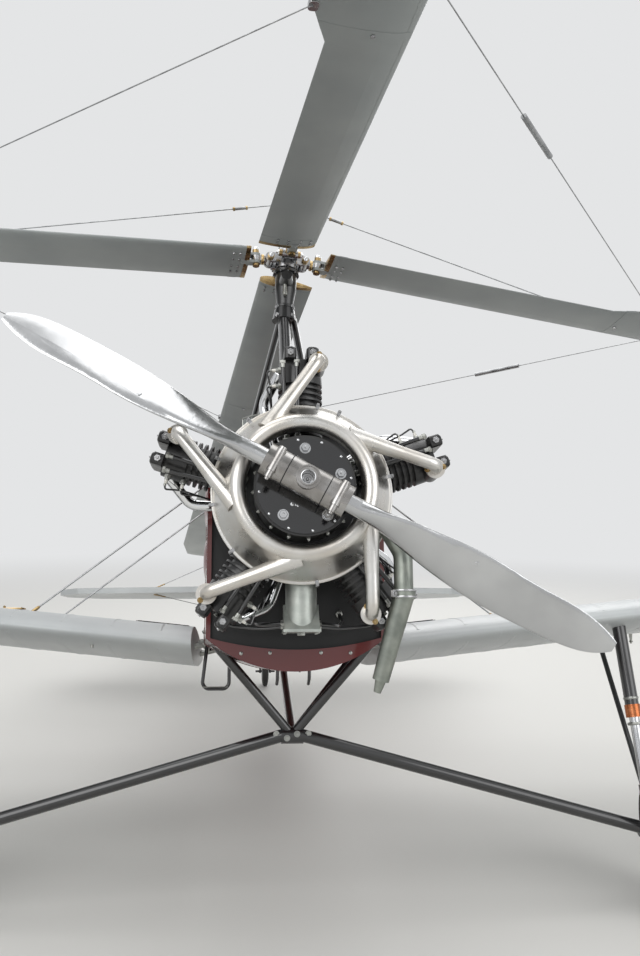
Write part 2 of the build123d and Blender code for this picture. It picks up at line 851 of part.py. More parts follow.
def strut_line(side):
    foot = axle_point(side) - Vector(side * 120, 0, -34)
    top = Vector(side * strut_top[0], strut_top[1], wing_height(strut_top[0]) + 40)
    return foot, top - foot


def shock_struts():
    # cylinders and drag struts; the sliding rods and the copper collars are apart
    struts = []
    low, high = strut_joint
    for side in (-1, 1):
        foot, span = strut_line(side)
        leg = axle_legs()[(side + 1) // 2]
        wing = wing_body() if side > 0 else mirrored(wing_body())
        cylinder_part = rod(foot + span * high, foot + span, 30)
        lug = rod(foot + span * 0.05, foot + span * 0.16, 30) - leg
        drag_top = (side * drag_top_place[0], drag_top_place[1], wing_height(drag_top_place[0]))
        drag = rod(foot + span * 0.12 + Vector(0, 22, 0), drag_top, 12)
        struts += [largest(cylinder_part - wing), largest(drag + lug - wing - strut_rod(side))]
    return struts


def strut_rod(side):
    foot, span = strut_line(side)
    return rod(foot, foot + span * strut_joint[0], 22)


def strut_rods():
    return [largest(strut_rod(side) - axle_legs()[(side + 1) // 2]) for side in (-1, 1)]


def strut_collars():
    collars = []
    for side in (-1, 1):
        foot, span = strut_line(side)
        collars.append(rod(foot + span * strut_joint[0], foot + span * strut_joint[1], 34))
    return collars


def tyre(radius, width, rim):
    tread = radius - width * 0.42
    profile = make_face(Wire([
        ThreePointArc((-width * 0.42, tread), (0, radius), (width * 0.42, tread)).edge(),
        ThreePointArc((width * 0.42, tread), (width * 0.5, (tread + rim) / 2), (width * 0.3, rim)).edge(),
        Line((width * 0.3, rim), (-width * 0.3, rim)).edge(),
        ThreePointArc((-width * 0.3, rim), (-width * 0.5, (tread + rim) / 2), (-width * 0.42, tread)).edge(),
    ]))
    return revolve(profile, Axis.X)


def wheel(rim, width, bore):
    outer, inner = width * 0.34, width * 0.3
    points = [(-42, bore), (-42, 44), (-24, 60), (-24, rim - 40), (-outer, rim - 12), (-outer, rim + 8),
              (-inner, rim + 8), (-inner, rim - seat_gap), (inner, rim - seat_gap), (inner, rim + 8),
              (outer, rim + 8), (outer, rim - 12), (24, rim - 40), (24, 60), (42, 44), (42, bore)]
    return revolve(make_face(Polyline(*points, close=True)), Axis.X)


def tail_axle():
    y = tail_axle_station
    return Vector(0, y, height_over_floor(y, tail_tyre_radius))


def tail_leg():
    swivel = tail_axle() - aft * tail_trail
    top = swivel + up * 330
    low = swivel + up * 165
    leg = rod(low, top, 26)
    brace = rod(top - up * 20, (0, tail_post - 80, -150), 24)
    brace += rod(low + up * 30, (0, tail_post - 420, -200), 15)
    leg = leg + brace - hull()
    return leg - rod(low - up * 5, low + up * 110, 14 + running_gap)


def tail_fork():
    swivel = tail_axle() - aft * tail_trail
    low = swivel + up * 165
    stem = rod(low - up * 8, low + up * 105, 14)
    crown = rod(low - up * 22, low - up * 6, 34)
    fork = stem + crown
    axle = tail_axle()
    for side in (-1, 1):
        shoulder = low - up * 16 + Vector(side * fork_half_width, 0, 0)
        fork += rod(low - up * 16, shoulder, 10)
        fork += rod(shoulder - up * 4, axle + Vector(side * fork_half_width, 0, 0), 8)
        inner, outer = Vector(side * (fork_half_width - 9), 0, 0), Vector(side * (fork_half_width + 9), 0, 0)
        fork += rod(axle + inner, axle + outer, 15)
        fork += rod(axle, axle + outer + Vector(side * tow_peg_length, 0, 0), tow_peg_radius)
    return fork


# cockpits


def seats():
    made = []
    for start in (front_well, rear_well):
        y = start + 250
        base = block((-200, y, -330), (200, y + 330, -290))
        back = block((-200, y + 300, -290), (200, y + 340, 150))
        foot = block((-180, y + 60, -700), (180, y + 280, -330)) & cabin()
        made.append(base + back + foot)
    return made


def seat_cushions():
    made = []
    for start in (front_well, rear_well):
        y = start + 250
        made.append(block((-185, y + 12, -290 + seat_gap), (185, y + 240, -225)))
        made.append(block((-185, y + 245, -290 + seat_gap), (185, y + 300 - seat_gap, 130)))
    return made


def instrument_panels():
    made = []
    for start in (front_well, rear_well):
        made.append(block((-600, start - 40, -60), (600, start - 30, 500)) & cabin())
    return made


def control_sticks(tub):
    made = []
    for start in (front_well, rear_well):
        stick = largest(rod((0, start + 116, -660), (0, start + 150, 0), 11) - tub)
        grip = rod((0, start + 150, 0), (0, start + 154, 90), 17)
        made.append(stick + grip)
    return made


def windshields():
    made = []
    for start, roll in zip((front_well, rear_well), coaming_rolls()):
        bend = Pos(0, start + 165) * (Circle(250) - Circle(245))
        zone = block((-240, start - 120, 150), (240, start + 40, 600))
        shield = extrude(Plane.XY.offset(150) * bend, 430) & zone
        made.append(largest(shield - hull() - roll))
    return made


def boarding_step():
    y, low = step_station, step_height
    outer, inner = -385, -265
    rail = bent_tube([(outer + 25, y, -480), (outer, y, low), (inner, y, low), (inner, y, -520)], 30, 8)
    return rail - hull()


def main():
    cowl, tub, tail = fuselage()
    save("nose_cowl", cowl)
    save("firewall", firewall())
    save("fuselage_tub", tub)
    pylon_shape = pylon() - hull()
    save("rotor_pylon", largest(pylon_shape))
    save("rotor_head", rotor_head())
    save("rotor_hub", rotor_hub())
    link, (flap, drag), blade = drooped(blade_link()), hinge_pins(), drooped(rotor_blade())
    save("blade_links", *[around_rotor(link, k) for k in range(4)])
    pins = [around_rotor(p, k) for k in range(4) for p in (flap, drooped(drag))]
    save("hinge_pins", *pins)
    for k, name in enumerate(("front", "port", "rear", "starboard")):
        save(f"rotor_blade_{name}", around_rotor(blade, k))
    save("droop_post", around_rotor(droop_mast(), 1))
    save("droop_stays", *droop_stays())
    save("blade_ties", *blade_ties())

    save("crankcase", crankcase())
    save("nose_plate", nose_plate())
    save("cylinders", *cylinders())
    save("pushrods", *pushrods())
    save("exhaust_ring", exhaust_ring())
    save("exhaust_tail_pipe", exhaust_tail_pipe())
    save("oil_sump", oil_sump())
    save("intake_pipes", *intake_pipes())
    save("engine_mount", engine_mount())
    hub, blades = propeller()
    save("propeller_hub", hub)
    save("propeller_blades", *blades)

    wing, aileron = wing_and_aileron()
    save("wing_port", wing)
    save("wing_starboard", mirrored(wing))
    save("aileron_port", aileron)
    save("aileron_starboard", mirrored(aileron))
    save("wing_fittings", *wing_fittings())
    save("brace_wires", *brace_wires())

    stab, tail_fin = tailplane(), fin()
    elevator = elevators()
    y = tail_hinge_station + elevator_nose + hinge_gap
    bore = rod((-elevator_root, y, tail_height), (elevator_root, y, tail_height), 14 + running_gap)
    save("fuselage_tail", tail - stab - tail_fin - bore + rudder_hinge(rudder_hinges[0]))
    save("tailplane", stab)
    save("elevators", elevator)
    save("fin", tail_fin)
    save("rudder", rudder())

    save("gear_pyramid", gear_pyramid())
    save("axle_legs", *axle_legs())
    save("shock_struts", *shock_struts())
    save("strut_rods", *strut_rods())
    save("strut_collars", *strut_collars())
    for side, name in ((1, "port"), (-1, "starboard")):
        place = Pos(axle_point(side))
        save(f"wheel_{name}", place * wheel(200, tyre_width, axle_radius + running_gap))
        rim = wheel(200, tyre_width, axle_radius + running_gap)
        save(f"tyre_{name}", place * (tyre(tyre_radius, tyre_width, 200) - rim))
    save("tail_leg", tail_leg())
    save("tail_fork", tail_fork())
    save("tail_wheel", Pos(tail_axle()) * tyre(tail_tyre_radius, 52, tow_peg_radius + running_gap))

    save("seats", *seats())
    save("seat_cushions", *seat_cushions())
    save("instrument_panels", *instrument_panels())
    save("control_sticks", *control_sticks(tub))
    save("coaming_rolls", *coaming_rolls())
    save("windshields", *windshields())
    save("boarding_step", boarding_step())


if __name__ == "__main__":
    main()
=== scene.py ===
import json
import math
import bmesh
import bpy
import numpy as np
from mathutils import Matrix, Vector
from mathutils.bvhtree import BVHTree
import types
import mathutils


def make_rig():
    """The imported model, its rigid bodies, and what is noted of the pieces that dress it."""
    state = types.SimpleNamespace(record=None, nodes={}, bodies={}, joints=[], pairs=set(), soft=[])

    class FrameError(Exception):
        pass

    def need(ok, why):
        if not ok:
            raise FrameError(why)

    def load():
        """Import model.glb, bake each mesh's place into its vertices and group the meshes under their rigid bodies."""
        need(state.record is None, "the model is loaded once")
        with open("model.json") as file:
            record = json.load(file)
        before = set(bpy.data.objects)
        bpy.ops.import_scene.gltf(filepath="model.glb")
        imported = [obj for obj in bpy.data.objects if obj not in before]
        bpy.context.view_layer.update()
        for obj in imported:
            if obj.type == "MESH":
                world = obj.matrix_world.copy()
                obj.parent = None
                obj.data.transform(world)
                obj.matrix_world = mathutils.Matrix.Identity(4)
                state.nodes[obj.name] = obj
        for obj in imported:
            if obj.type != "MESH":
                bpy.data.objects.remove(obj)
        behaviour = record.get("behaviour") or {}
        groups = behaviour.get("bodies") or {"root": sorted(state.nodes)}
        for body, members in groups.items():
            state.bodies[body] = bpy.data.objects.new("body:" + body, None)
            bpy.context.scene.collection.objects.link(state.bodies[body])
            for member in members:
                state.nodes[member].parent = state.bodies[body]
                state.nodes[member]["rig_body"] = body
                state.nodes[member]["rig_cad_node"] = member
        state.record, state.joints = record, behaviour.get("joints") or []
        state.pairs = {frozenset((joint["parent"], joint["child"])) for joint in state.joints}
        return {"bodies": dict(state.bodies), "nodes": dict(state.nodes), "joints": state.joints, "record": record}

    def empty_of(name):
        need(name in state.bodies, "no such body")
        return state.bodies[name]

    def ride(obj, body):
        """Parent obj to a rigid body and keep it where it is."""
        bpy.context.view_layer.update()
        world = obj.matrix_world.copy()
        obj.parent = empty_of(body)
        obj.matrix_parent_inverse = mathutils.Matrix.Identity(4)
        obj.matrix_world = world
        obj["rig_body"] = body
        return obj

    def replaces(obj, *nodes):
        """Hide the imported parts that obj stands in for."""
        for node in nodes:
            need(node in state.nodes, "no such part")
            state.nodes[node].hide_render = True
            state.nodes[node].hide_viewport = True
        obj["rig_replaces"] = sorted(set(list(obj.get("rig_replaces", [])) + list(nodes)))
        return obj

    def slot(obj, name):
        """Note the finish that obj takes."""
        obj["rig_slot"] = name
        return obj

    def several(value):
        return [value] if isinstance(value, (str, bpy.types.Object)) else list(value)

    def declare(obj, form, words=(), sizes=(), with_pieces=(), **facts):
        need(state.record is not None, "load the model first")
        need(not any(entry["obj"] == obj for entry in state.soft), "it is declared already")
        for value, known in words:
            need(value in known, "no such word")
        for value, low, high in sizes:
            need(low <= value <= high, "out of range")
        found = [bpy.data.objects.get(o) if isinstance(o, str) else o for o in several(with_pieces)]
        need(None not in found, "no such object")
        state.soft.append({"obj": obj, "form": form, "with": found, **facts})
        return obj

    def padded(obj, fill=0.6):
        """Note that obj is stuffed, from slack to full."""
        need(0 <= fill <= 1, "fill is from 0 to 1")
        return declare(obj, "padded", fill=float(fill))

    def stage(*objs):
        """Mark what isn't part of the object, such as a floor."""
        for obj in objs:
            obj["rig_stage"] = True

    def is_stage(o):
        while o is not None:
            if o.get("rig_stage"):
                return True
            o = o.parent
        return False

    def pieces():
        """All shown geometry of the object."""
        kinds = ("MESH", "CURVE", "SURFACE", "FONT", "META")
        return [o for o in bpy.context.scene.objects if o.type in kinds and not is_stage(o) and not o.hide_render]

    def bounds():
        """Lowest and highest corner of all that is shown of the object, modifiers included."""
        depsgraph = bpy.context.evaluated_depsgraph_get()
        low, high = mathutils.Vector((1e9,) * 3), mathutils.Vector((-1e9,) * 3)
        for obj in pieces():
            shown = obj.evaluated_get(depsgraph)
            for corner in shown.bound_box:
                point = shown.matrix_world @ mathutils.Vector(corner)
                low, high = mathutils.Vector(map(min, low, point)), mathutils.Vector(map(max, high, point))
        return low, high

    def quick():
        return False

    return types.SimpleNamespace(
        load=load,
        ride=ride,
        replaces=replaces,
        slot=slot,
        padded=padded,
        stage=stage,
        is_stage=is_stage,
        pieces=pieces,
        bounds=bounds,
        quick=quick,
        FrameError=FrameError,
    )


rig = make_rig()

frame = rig.load()
cadLow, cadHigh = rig.bounds()
nodes = frame["nodes"]
print("frame loaded:", len(nodes), "nodes")

# Axes of the airframe: origin on the thrust line in the propeller plane, x to port, y aft, z up.
# Every length below is in millimetres in these axes; makePiece turns them into the frame's metres.
thrust = {joint["name"]: joint for joint in frame["joints"]}["propeller_spin"]
aftWay = -np.array(thrust["axis"], float)
portWay = np.array((1.0, 0.0, 0.0))
airframeAxes = np.stack((portWay, aftWay, np.cross(portWay, aftWay)))
airframeOrigin = np.array(thrust["pos_m"], float)
port, aft, up = np.eye(3)
forward, down = -aft, -up
flat, upright = (port, aft), (aft, up)


def toRow(points):
    # airframe millimetres to metres: origin plus x, y and z times the three axes
    return airframeOrigin + np.asarray(points, float) / 1000 @ airframeAxes


def nodePoints(name):
    mesh = nodes[name].data
    metres = np.empty(len(mesh.vertices) * 3)
    mesh.vertices.foreach_get("co", metres)
    return (metres.reshape(-1, 3) - airframeOrigin) @ airframeAxes.T * 1000


def newObject(name, data):
    made = bpy.data.objects.new(name, data)
    bpy.context.scene.collection.objects.link(made)
    return made


# Surfaces: a shape is its points, its four-sided faces and its end caps
def gridFaces(rows, columns, closeRows=False):
    # face k joins point (i, j) to its next row and next column; columns always close
    i, j = np.meshgrid(np.arange(rows if closeRows else rows - 1), np.arange(columns), indexing="ij")
    nextI, nextJ = (i + 1) % rows, (j + 1) % columns
    corners = (i * columns + j, i * columns + nextJ, nextI * columns + nextJ, nextI * columns + j)
    return np.stack(corners, -1).reshape(-1, 4)


def closedRows(points):
    # rows of closed rings; a cap of one face shuts each end
    rows, columns = points.shape[:2]
    caps = [list(range(columns)), list(range((rows - 1) * columns, rows * columns))]
    return points.reshape(-1, 3), gridFaces(rows, columns), caps


def loopRows(points):
    # rows of closed rings that end where they began
    return points.reshape(-1, 3), gridFaces(*points.shape[:2], True), []


def unit(way):
    way = np.asarray(way, float)
    return way / np.linalg.norm(way, axis=-1, keepdims=True)


def squareTo(way):
    # two unit vectors square to the way and to each other
    way = unit(way)
    first = unit(np.cross(up if abs(way[2]) < 0.9 else port, way))
    return first, np.cross(way, first)


def around(count, start=0.0, full=2 * math.pi):
    return start + np.arange(count) * full / count


def ringOf(sides, first, second, start=0.0):
    # cos a * first + sin a * second, for one pair of ways or for a row of pairs
    angle = around(sides, start)[:, None]
    return np.cos(angle) * first[..., None, :] + np.sin(angle) * second[..., None, :]


def spun(place, way, profile, sides):
    # point = place + way * along + radius * ring
    radius, along = np.array(profile, float).T[..., None, None]
    return np.asarray(place, float) + along * unit(way) + radius * ringOf(sides, *squareTo(way))


def turned(place, way, profile, sides=24):
    # an open profile of (radius, distance along) rows, shut at both ends
    return closedRows(spun(place, way, profile, sides))


def hoop(place, way, section, sides=48):
    # a closed section of (radius, distance along) rows
    return loopRows(spun(place, way, section, sides))


def roundSection(radius, along, thick):
    # the closed section of a round wire bent to a hoop
    return np.stack((radius + thick * np.cos(around(12)), along + thick * np.sin(around(12))), -1)


def carried(path, first, second, radius, sides):
    # a circle carried along the path, with a radius for each point or for all
    radius = np.broadcast_to(np.asarray(radius, float), (len(path),))
    return path[:, None] + radius[:, None, None] * ringOf(sides, first, second)


def tube(path, radius, sides=12):
    # each ring stands square to the path's way there
    path = np.asarray(path, float)
    way = unit(np.gradient(path, axis=0))
    reference = squareTo(path[-1] - path[0] + 1e-9)[0]
    first = unit(reference - (way @ reference)[:, None] * way)
    return closedRows(carried(path, first, np.cross(way, first), radius, sides))


def loopTube(path, radius, sides):
    # a closed path that lies nearly in one plane
    way = unit(np.roll(path, -1, 0) - np.roll(path, 1, 0))
    arms = path - path.mean(0)
    first = unit(np.cross(way, unit(np.cross(arms, np.roll(arms, -1, 0)).sum(0))))
    return loopRows(carried(path, first, np.cross(first, way), radius, sides))


def rounded(corners, bend, steps=7):
    # a run of straight lines whose corners are quadratic curves that start one bend away from them
    corners = np.asarray(corners, float)
    made = [corners[:1]]
    t = np.linspace(0, 1, steps)[:, None]
    for a, b, c in zip(corners[:-2], corners[1:-1], corners[2:]):
        reach = min(bend, np.linalg.norm(b - a) / 2.1, np.linalg.norm(c - b) / 2.1)
        p, q = b + unit(a - b) * reach, b + unit(c - b) * reach
        made.append((1 - t) ** 2 * p + 2 * t * (1 - t) * b + t ** 2 * q)
    return np.concatenate(made + [corners[-1:]])


def roundedBox(width, height, corner, steps=5):
    # an outline: four quarter circles round the corners of a rectangle
    angle = (np.arange(4)[:, None] * math.pi / 2 + np.linspace(0, math.pi / 2, steps)).ravel()
    middle = np.repeat(np.array(((1, 1), (-1, 1), (-1, -1), (1, -1))), steps, axis=0)
    offset = middle * (width / 2 - corner, height / 2 - corner)
    return np.stack((np.cos(angle), np.sin(angle)), -1) * corner + offset


def prism(outline, place, across, upward, layers):
    # layers of (height, inset) rows: the outline draws in towards its middle by the inset
    outline = np.asarray(outline, float)
    middle = outline.mean(0)
    reach = np.linalg.norm(outline - middle, axis=1)[:, None]
    height, inset = np.array(layers, float).T[..., None, None]
    rings = middle + (outline - middle) * (1 - inset / reach)
    across, upward = unit(across), unit(upward)
    points = np.asarray(place, float) + rings[..., :1] * across + rings[..., 1:] * upward
    return closedRows(points + height * np.cross(across, upward))


def plate(size, place, plane, layers):
    # a prism on a rounded box of (width, height, corner)
    return prism(roundedBox(*size), place, *plane, layers)


def ball(place, radius, rows=9, sides=16):
    tilt = np.linspace(-math.pi / 2, math.pi / 2, rows + 2)[1:-1, None]
    angle = around(sides)
    points = np.cos(tilt) * np.cos(angle), np.cos(tilt) * np.sin(angle), np.repeat(np.sin(tilt), sides, 1)
    return closedRows(np.asarray(place, float) + np.stack(points, -1) * radius)


def nut(place, way, radius, height, stud=0.0, washer=0.0):
    # a chamfered prism over its washer, with the end of the stud standing out
    base = 2.0 if washer else 0.0
    top = base + height
    profile = ((radius * 0.95, base - 1), (radius, base + height * 0.12), (radius, top - height * 0.15),
               (radius * 0.9, top))
    shapes = [turned(place, way, profile, 6)]
    if washer:
        shapes.append(turned(place, way, ((washer, -1), (washer, 1.6), (washer - 0.5, 2.1)), 20))
    if stud:
        end = ((stud, top - 2), (stud, top + stud * 0.8), (stud * 0.6, top + stud * 1.1))
        shapes.append(turned(place, way, end, 10))
    return shapes


def nutPair(place, way, gap, size, otherSize=None):
    # nuts of (radius, height, stud, washer) on both ends of a bolt, each one gap from the middle
    gap = np.asarray(way) * gap
    return nut(place + gap, way, *size) + nut(place - gap, -way, *(otherSize or size))


def screw(place, way, radius):
    # a low round head
    head = np.array(((1, 0), (1, 0.25), (0.75, 0.5), (0.3, 0.6))) * radius
    head[0, 1] = -1
    return [turned(place, way, head, 14)]


def turnBy(degrees, axis):
    return Matrix.Rotation(math.radians(degrees), 4, axis)


def moved(shapes, matrix):
    turn, shift = np.array(matrix.to_3x3()), np.array(matrix.translation)
    return [(points @ turn.T + shift, quads, caps) for points, quads, caps in shapes]


def bothSides(shapes):
    # the shapes and their mirror images on the other side of the middle plane
    return shapes + [(points * (-1, 1, 1), quads, caps) for points, quads, caps in shapes]


def makePiece(name, shapes, material, body="airframe", smooth=True, edge=35):
    # joins the shapes into one mesh, turns its faces outwards and rides it on its body
    points, faces, count = [], [], 0
    for vertices, quads, caps in shapes:
        points.append(vertices)
        faces += (quads + count).tolist() + [[k + count for k in cap] for cap in caps]
        count += len(vertices)
    mesh = bpy.data.meshes.new(name)
    mesh.from_pydata(toRow(np.concatenate(points)).tolist(), [], faces)
    work = bmesh.new()
    work.from_mesh(mesh)
    bmesh.ops.recalc_face_normals(work, faces=work.faces)
    work.to_mesh(mesh)
    work.free()
    mesh.materials.append(material)
    piece = newObject(name, mesh)
    if smooth:
        mesh.shade_smooth()
        mesh.set_sharp_from_angle(angle=math.radians(edge))
    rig.ride(piece, body)
    return piece


def surfaceOf(*names):
    # a function that gives the place and the outward way where a line first meets the named nodes
    points, faces, count = [], [], 0
    for name in names:
        mesh = nodes[name].data
        mesh.calc_loop_triangles()
        corners = np.empty(len(mesh.loop_triangles) * 3, np.int32)
        mesh.loop_triangles.foreach_get("vertices", corners)
        points.append(nodePoints(name))
        faces.append(corners.reshape(-1, 3) + count)
        count += len(mesh.vertices)
    tree = BVHTree.FromPolygons(np.concatenate(points).tolist(), np.concatenate(faces).tolist(),
                                all_triangles=True)

    def meet(start, way):
        hit, normal, _, _ = tree.ray_cast(Vector(start), Vector(way).normalized())
        if hit is None:
            raise ValueError(f"no surface of {names} from {tuple(start)} along {tuple(way)}")
        outward = np.array(normal) if normal.dot(Vector(way)) < 0 else -np.array(normal)
        return np.array(hit), outward

    return meet


# Materials
def linear(colour):
    # sRGB hex to the linear colour that shaders take
    channels = np.array([int(colour[k:k + 2], 16) for k in (1, 3, 5)]) / 255
    low, high = channels / 12.92, ((channels + 0.055) / 1.055) ** 2.4
    return (*np.where(channels <= 0.04045, low, high).tolist(), 1.0)


def addNode(tree, kind, links=None, **settings):
    # one node with its settings; links maps an input to the output that feeds it
    node = tree.nodes.new(kind)
    for key, value in settings.items():
        if hasattr(node, key):
            setattr(node, key, value)
        else:
            node.inputs[key.replace("_", " ")].default_value = value
    for key, source in (links or {}).items():
        tree.links.new(source, node.inputs[key])
    return node


def startMaterial(name, roughness, metallic=0.0, colour="#808080", coat=(0.0, 0.05)):
    material = bpy.data.materials.new(name)
    material.use_nodes = True
    tree = material.node_tree
    tree.nodes.clear()
    shader = addNode(tree, "ShaderNodeBsdfPrincipled", Roughness=roughness, Metallic=metallic,
                     Base_Color=linear(colour), Coat_Weight=coat[0], Coat_Roughness=coat[1])
    addNode(tree, "ShaderNodeOutputMaterial", {"Surface": shader.outputs[0]})
    place = addNode(tree, "ShaderNodeTexCoord").outputs["Object"]
    return material, tree, shader, place


def spread(tree, place, sizeMm, detail=3.0, stretch=(1, 1, 1)):
    # noise whose patches are about sizeMm across, stretched along the axes
    scaled = addNode(tree, "ShaderNodeMapping", {"Vector": place}, Scale=stretch)
    noise = addNode(tree, "ShaderNodeTexNoise", {"Vector": scaled.outputs[0]}, Scale=1000 / sizeMm,
                    Detail=detail)
    return noise.outputs[0]


def ramp(tree, source, low, high, start, end):
    made = addNode(tree, "ShaderNodeValToRGB", {"Fac": source})
    for element, position, colour in zip(made.color_ramp.elements, (start, end), (low, high)):
        element.position, element.color = position, colour
    return made.outputs[0]


def bump(tree, shader, heights, distanceMm, strength=1.0, under=None):
    links = {"Height": heights, **({"Normal": under.outputs[0]} if under else {})}
    made = addNode(tree, "ShaderNodeBump", links, Strength=strength, Distance=distanceMm / 1000)
    tree.links.new(made.outputs[0], shader.inputs["Normal"])
    return made


def repeats(tree, place, pitchMm, shareOn):
    # 1 within a share of every pitch across the frame, 0 between
    across = addNode(tree, "ShaderNodeSeparateXYZ", {"Vector": place}).outputs[0]
    cell = addNode(tree, "ShaderNodeMath", {0: across}, operation="PINGPONG")
    cell.inputs[1].default_value = pitchMm / 2000
    near = addNode(tree, "ShaderNodeMath", {0: cell.outputs[0]}, operation="LESS_THAN")
    near.inputs[1].default_value = pitchMm * shareOn / 2000
    return near.outputs[0]


def finish(name, colours, patch, rough=0.4, metallic=0.0, haze=None, grain=None, coat=(0.0, 0.05),
           ribs=None, along=(3.0, (1, 1, 1))):
    # two colours in patches; haze is the low and high roughness and its patch, grain the size, detail
    # and height of the bumps, ribs the pitch, share, height and strength of what stands over them
    material, tree, shader, place = startMaterial(name, rough, metallic, coat=coat)
    low, high = (linear(colour) for colour in colours)
    mottled = ramp(tree, spread(tree, place, patch, *along), low, high, 0.35, 0.65)
    tree.links.new(mottled, shader.inputs["Base Color"])
    if haze:
        low, high, patch = haze
        low, high = (low, low, low, 1), (high, high, high, 1)
        hazed = ramp(tree, spread(tree, place, patch, 4.0), low, high, 0.3, 0.7)
        tree.links.new(hazed, shader.inputs["Roughness"])
    if grain:
        size, detail, height, *stretch = grain
        under = bump(tree, shader, spread(tree, place, size, detail, *stretch), height)
        if ribs:
            bump(tree, shader, repeats(tree, place, *ribs[:2]), *ribs[2:], under)
    return material


def enamel(name, colours, coat=0.8, patch=160, rough=0.3, peelMm=0.012):
    # stoved enamel: deep colour under a clear gloss with slight orange peel
    return finish(name, colours, patch, rough, grain=(9, 2.0, peelMm), coat=(coat, 0.05))


def fabric(name, colours, weaveMm=0.012, ribs=None):
    # linen shrunk over ribs and doped: satin, weave just showing, tapes over the ribs
    return finish(name, colours, 420, metallic=0.1, haze=(0.35, 0.46, 160), grain=(2.4, 2.0, weaveMm),
                  coat=(0.2, 0.25), ribs=ribs)


def metal(name, colours, rough=(0.2, 0.3), patch=40):
    # machined or plated metal: small patches of haze
    return finish(name, colours, patch, metallic=1.0, haze=(*rough, patch))


def casting(name, colours, metallic, rough, grainMm, coat=0.0):
    # sand cast alloy, painted or bare: grain of the mould
    return finish(name, colours, 45, metallic=metallic, haze=(*rough, 25), grain=(2.6, 3.0, grainMm),
                  coat=(coat, 0.15))


def leather(name):
    # hide with a closed grain: small cells, worn lighter in patches
    made = finish(name, ("#38190f", "#512a1a"), 90, 0.48)
    tree = made.node_tree
    shader, place = tree.nodes["Principled BSDF"], tree.nodes["Texture Coordinate"].outputs["Object"]
    cells = addNode(tree, "ShaderNodeTexVoronoi", {"Vector": place}, Scale=1000 / 2.2)
    bump(tree, shader, cells.outputs["Distance"], 0.12)
    return made


def clearSheet(name):
    # blown acrylic: clear, very slightly green at the edge
    material, tree, shader, place = startMaterial(name, 0.02, 0.0, "#f4faf8")
    shader.inputs["Transmission Weight"].default_value = 1.0
    shader.inputs["IOR"].default_value = 1.49
    bump(tree, shader, spread(tree, place, 120, 1.0), 0.01)
    return material


materials = {
    # forged aluminium buffed to a mirror, with fine streaks along the blade
    "polished_alloy": finish("aluminium_mirror_buffed", ("#b4b5b6", "#c4c5c6"), 240, metallic=1.0,
                             haze=(0.15, 0.24, 70), grain=(5, 3.0, 0.003, (1, 6, 6))),
    # steel: bead blasted and faintly straw from the heat, or dulled by it to a blotched green grey
    "satin_exhaust": finish("steel_bead_blasted", ("#c7c2ba", "#d5d4d1"), 170, metallic=1.0,
                            haze=(0.25, 0.36, 60), grain=(1.4, 2.0, 0.025)),
    "grey_exhaust": finish("steel_heat_dulled", ("#7a7f79", "#969a92"), 70, metallic=1.0,
                           haze=(0.36, 0.5, 40), grain=(2.0, 3.0, 0.05)),
    "black_tube": enamel("enamel_black_stoved", ("#0b0b0c", "#131315"), 0.9),
    "black_plate": enamel("enamel_black_polished", ("#070709", "#0c0c10"), 1.0, 90, 0.12, 0.004),
    "cylinder_black": casting("cast_iron_painted_black", ("#0e0e0e", "#181717"), 0.0, (0.35, 0.5), 0.08, 0.3),
    "engine_alloy": casting("cast_alloy_painted_black", ("#121212", "#1c1b1a"), 0.0, (0.4, 0.55), 0.1, 0.3),
    "black_casting": casting("cast_alloy_black_enamel", ("#0f0f10", "#191919"), 0.0, (0.3, 0.45), 0.08, 0.5),
    "sump_alloy": casting("cast_alloy_bare", ("#9ba09b", "#b4b8b2"), 0.8, (0.38, 0.5), 0.06),
    "maroon_panel": enamel("enamel_maroon_on_aluminium", ("#520f0e", "#5e1412"), 0.8, 400),
    "maroon_fabric": fabric("linen_doped_maroon", ("#4f0f0e", "#5b1312")),
    "silver_wing": fabric("linen_doped_silver", ("#adb1b2", "#b9bdbd"), ribs=(300, 0.11, 0.9, 0.7)),
    "silver_blade": fabric("plywood_doped_silver", ("#838888", "#919594"), 0.002),
    "hub_steel": metal("steel_machined", ("#9b9b9c", "#b5b5b6")),
    "brass_fittings": metal("brass_machined", ("#9a8157", "#b79f74")),
    "stay_wire": metal("steel_streamlined_wire", ("#8f9091", "#aeafb0"), (0.22, 0.35)),
    "steel_fittings": metal("steel_cadmium_plated", ("#939490", "#adaea9"), (0.28, 0.42)),
    "chrome_tube": metal("steel_chromium_plated", ("#d4d5d7", "#e0e1e2"), (0.04, 0.1), 120),
    "polished_steel": metal("steel_ground", ("#bdbec0", "#cdced0"), (0.07, 0.14), 120),
    "copper_collar": metal("copper_drawn", ("#a4603c", "#bd7a54"), (0.2, 0.32), 30),
    "firewall_sheet": enamel("enamel_black_on_sheet", ("#0a0a0a", "#101010"), 0.1, 200, 0.5),
    "wheel_paint": enamel("enamel_silver_on_disc", ("#a9adad", "#b6baba"), 0.3),
    # vulcanised rubber: matt, with the rings of the mould round the wheel
    "tyre_rubber": finish("rubber_moulded", ("#1a1a19", "#262523"), 60, 0.68, grain=(1.5, 3.0, 0.06),
                          ribs=(16, 0.22, 1.6, 0.8)),
    "seat_shell": casting("aluminium_sheet_formed", ("#8b8e8e", "#9c9f9f"), 0.8, (0.35, 0.45), 0.03),
    # board under varnish, its grain stretched across the frame
    "dash_board": finish("mahogany_varnished", ("#34180d", "#552b18"), 14, 0.25, coat=(0.6, 0.05),
                         along=(4.0, (0.12, 1, 1))),
    "clear_shield": clearSheet("acrylic_blown"),
    "coaming_leather": leather("leather_tanned"),
}
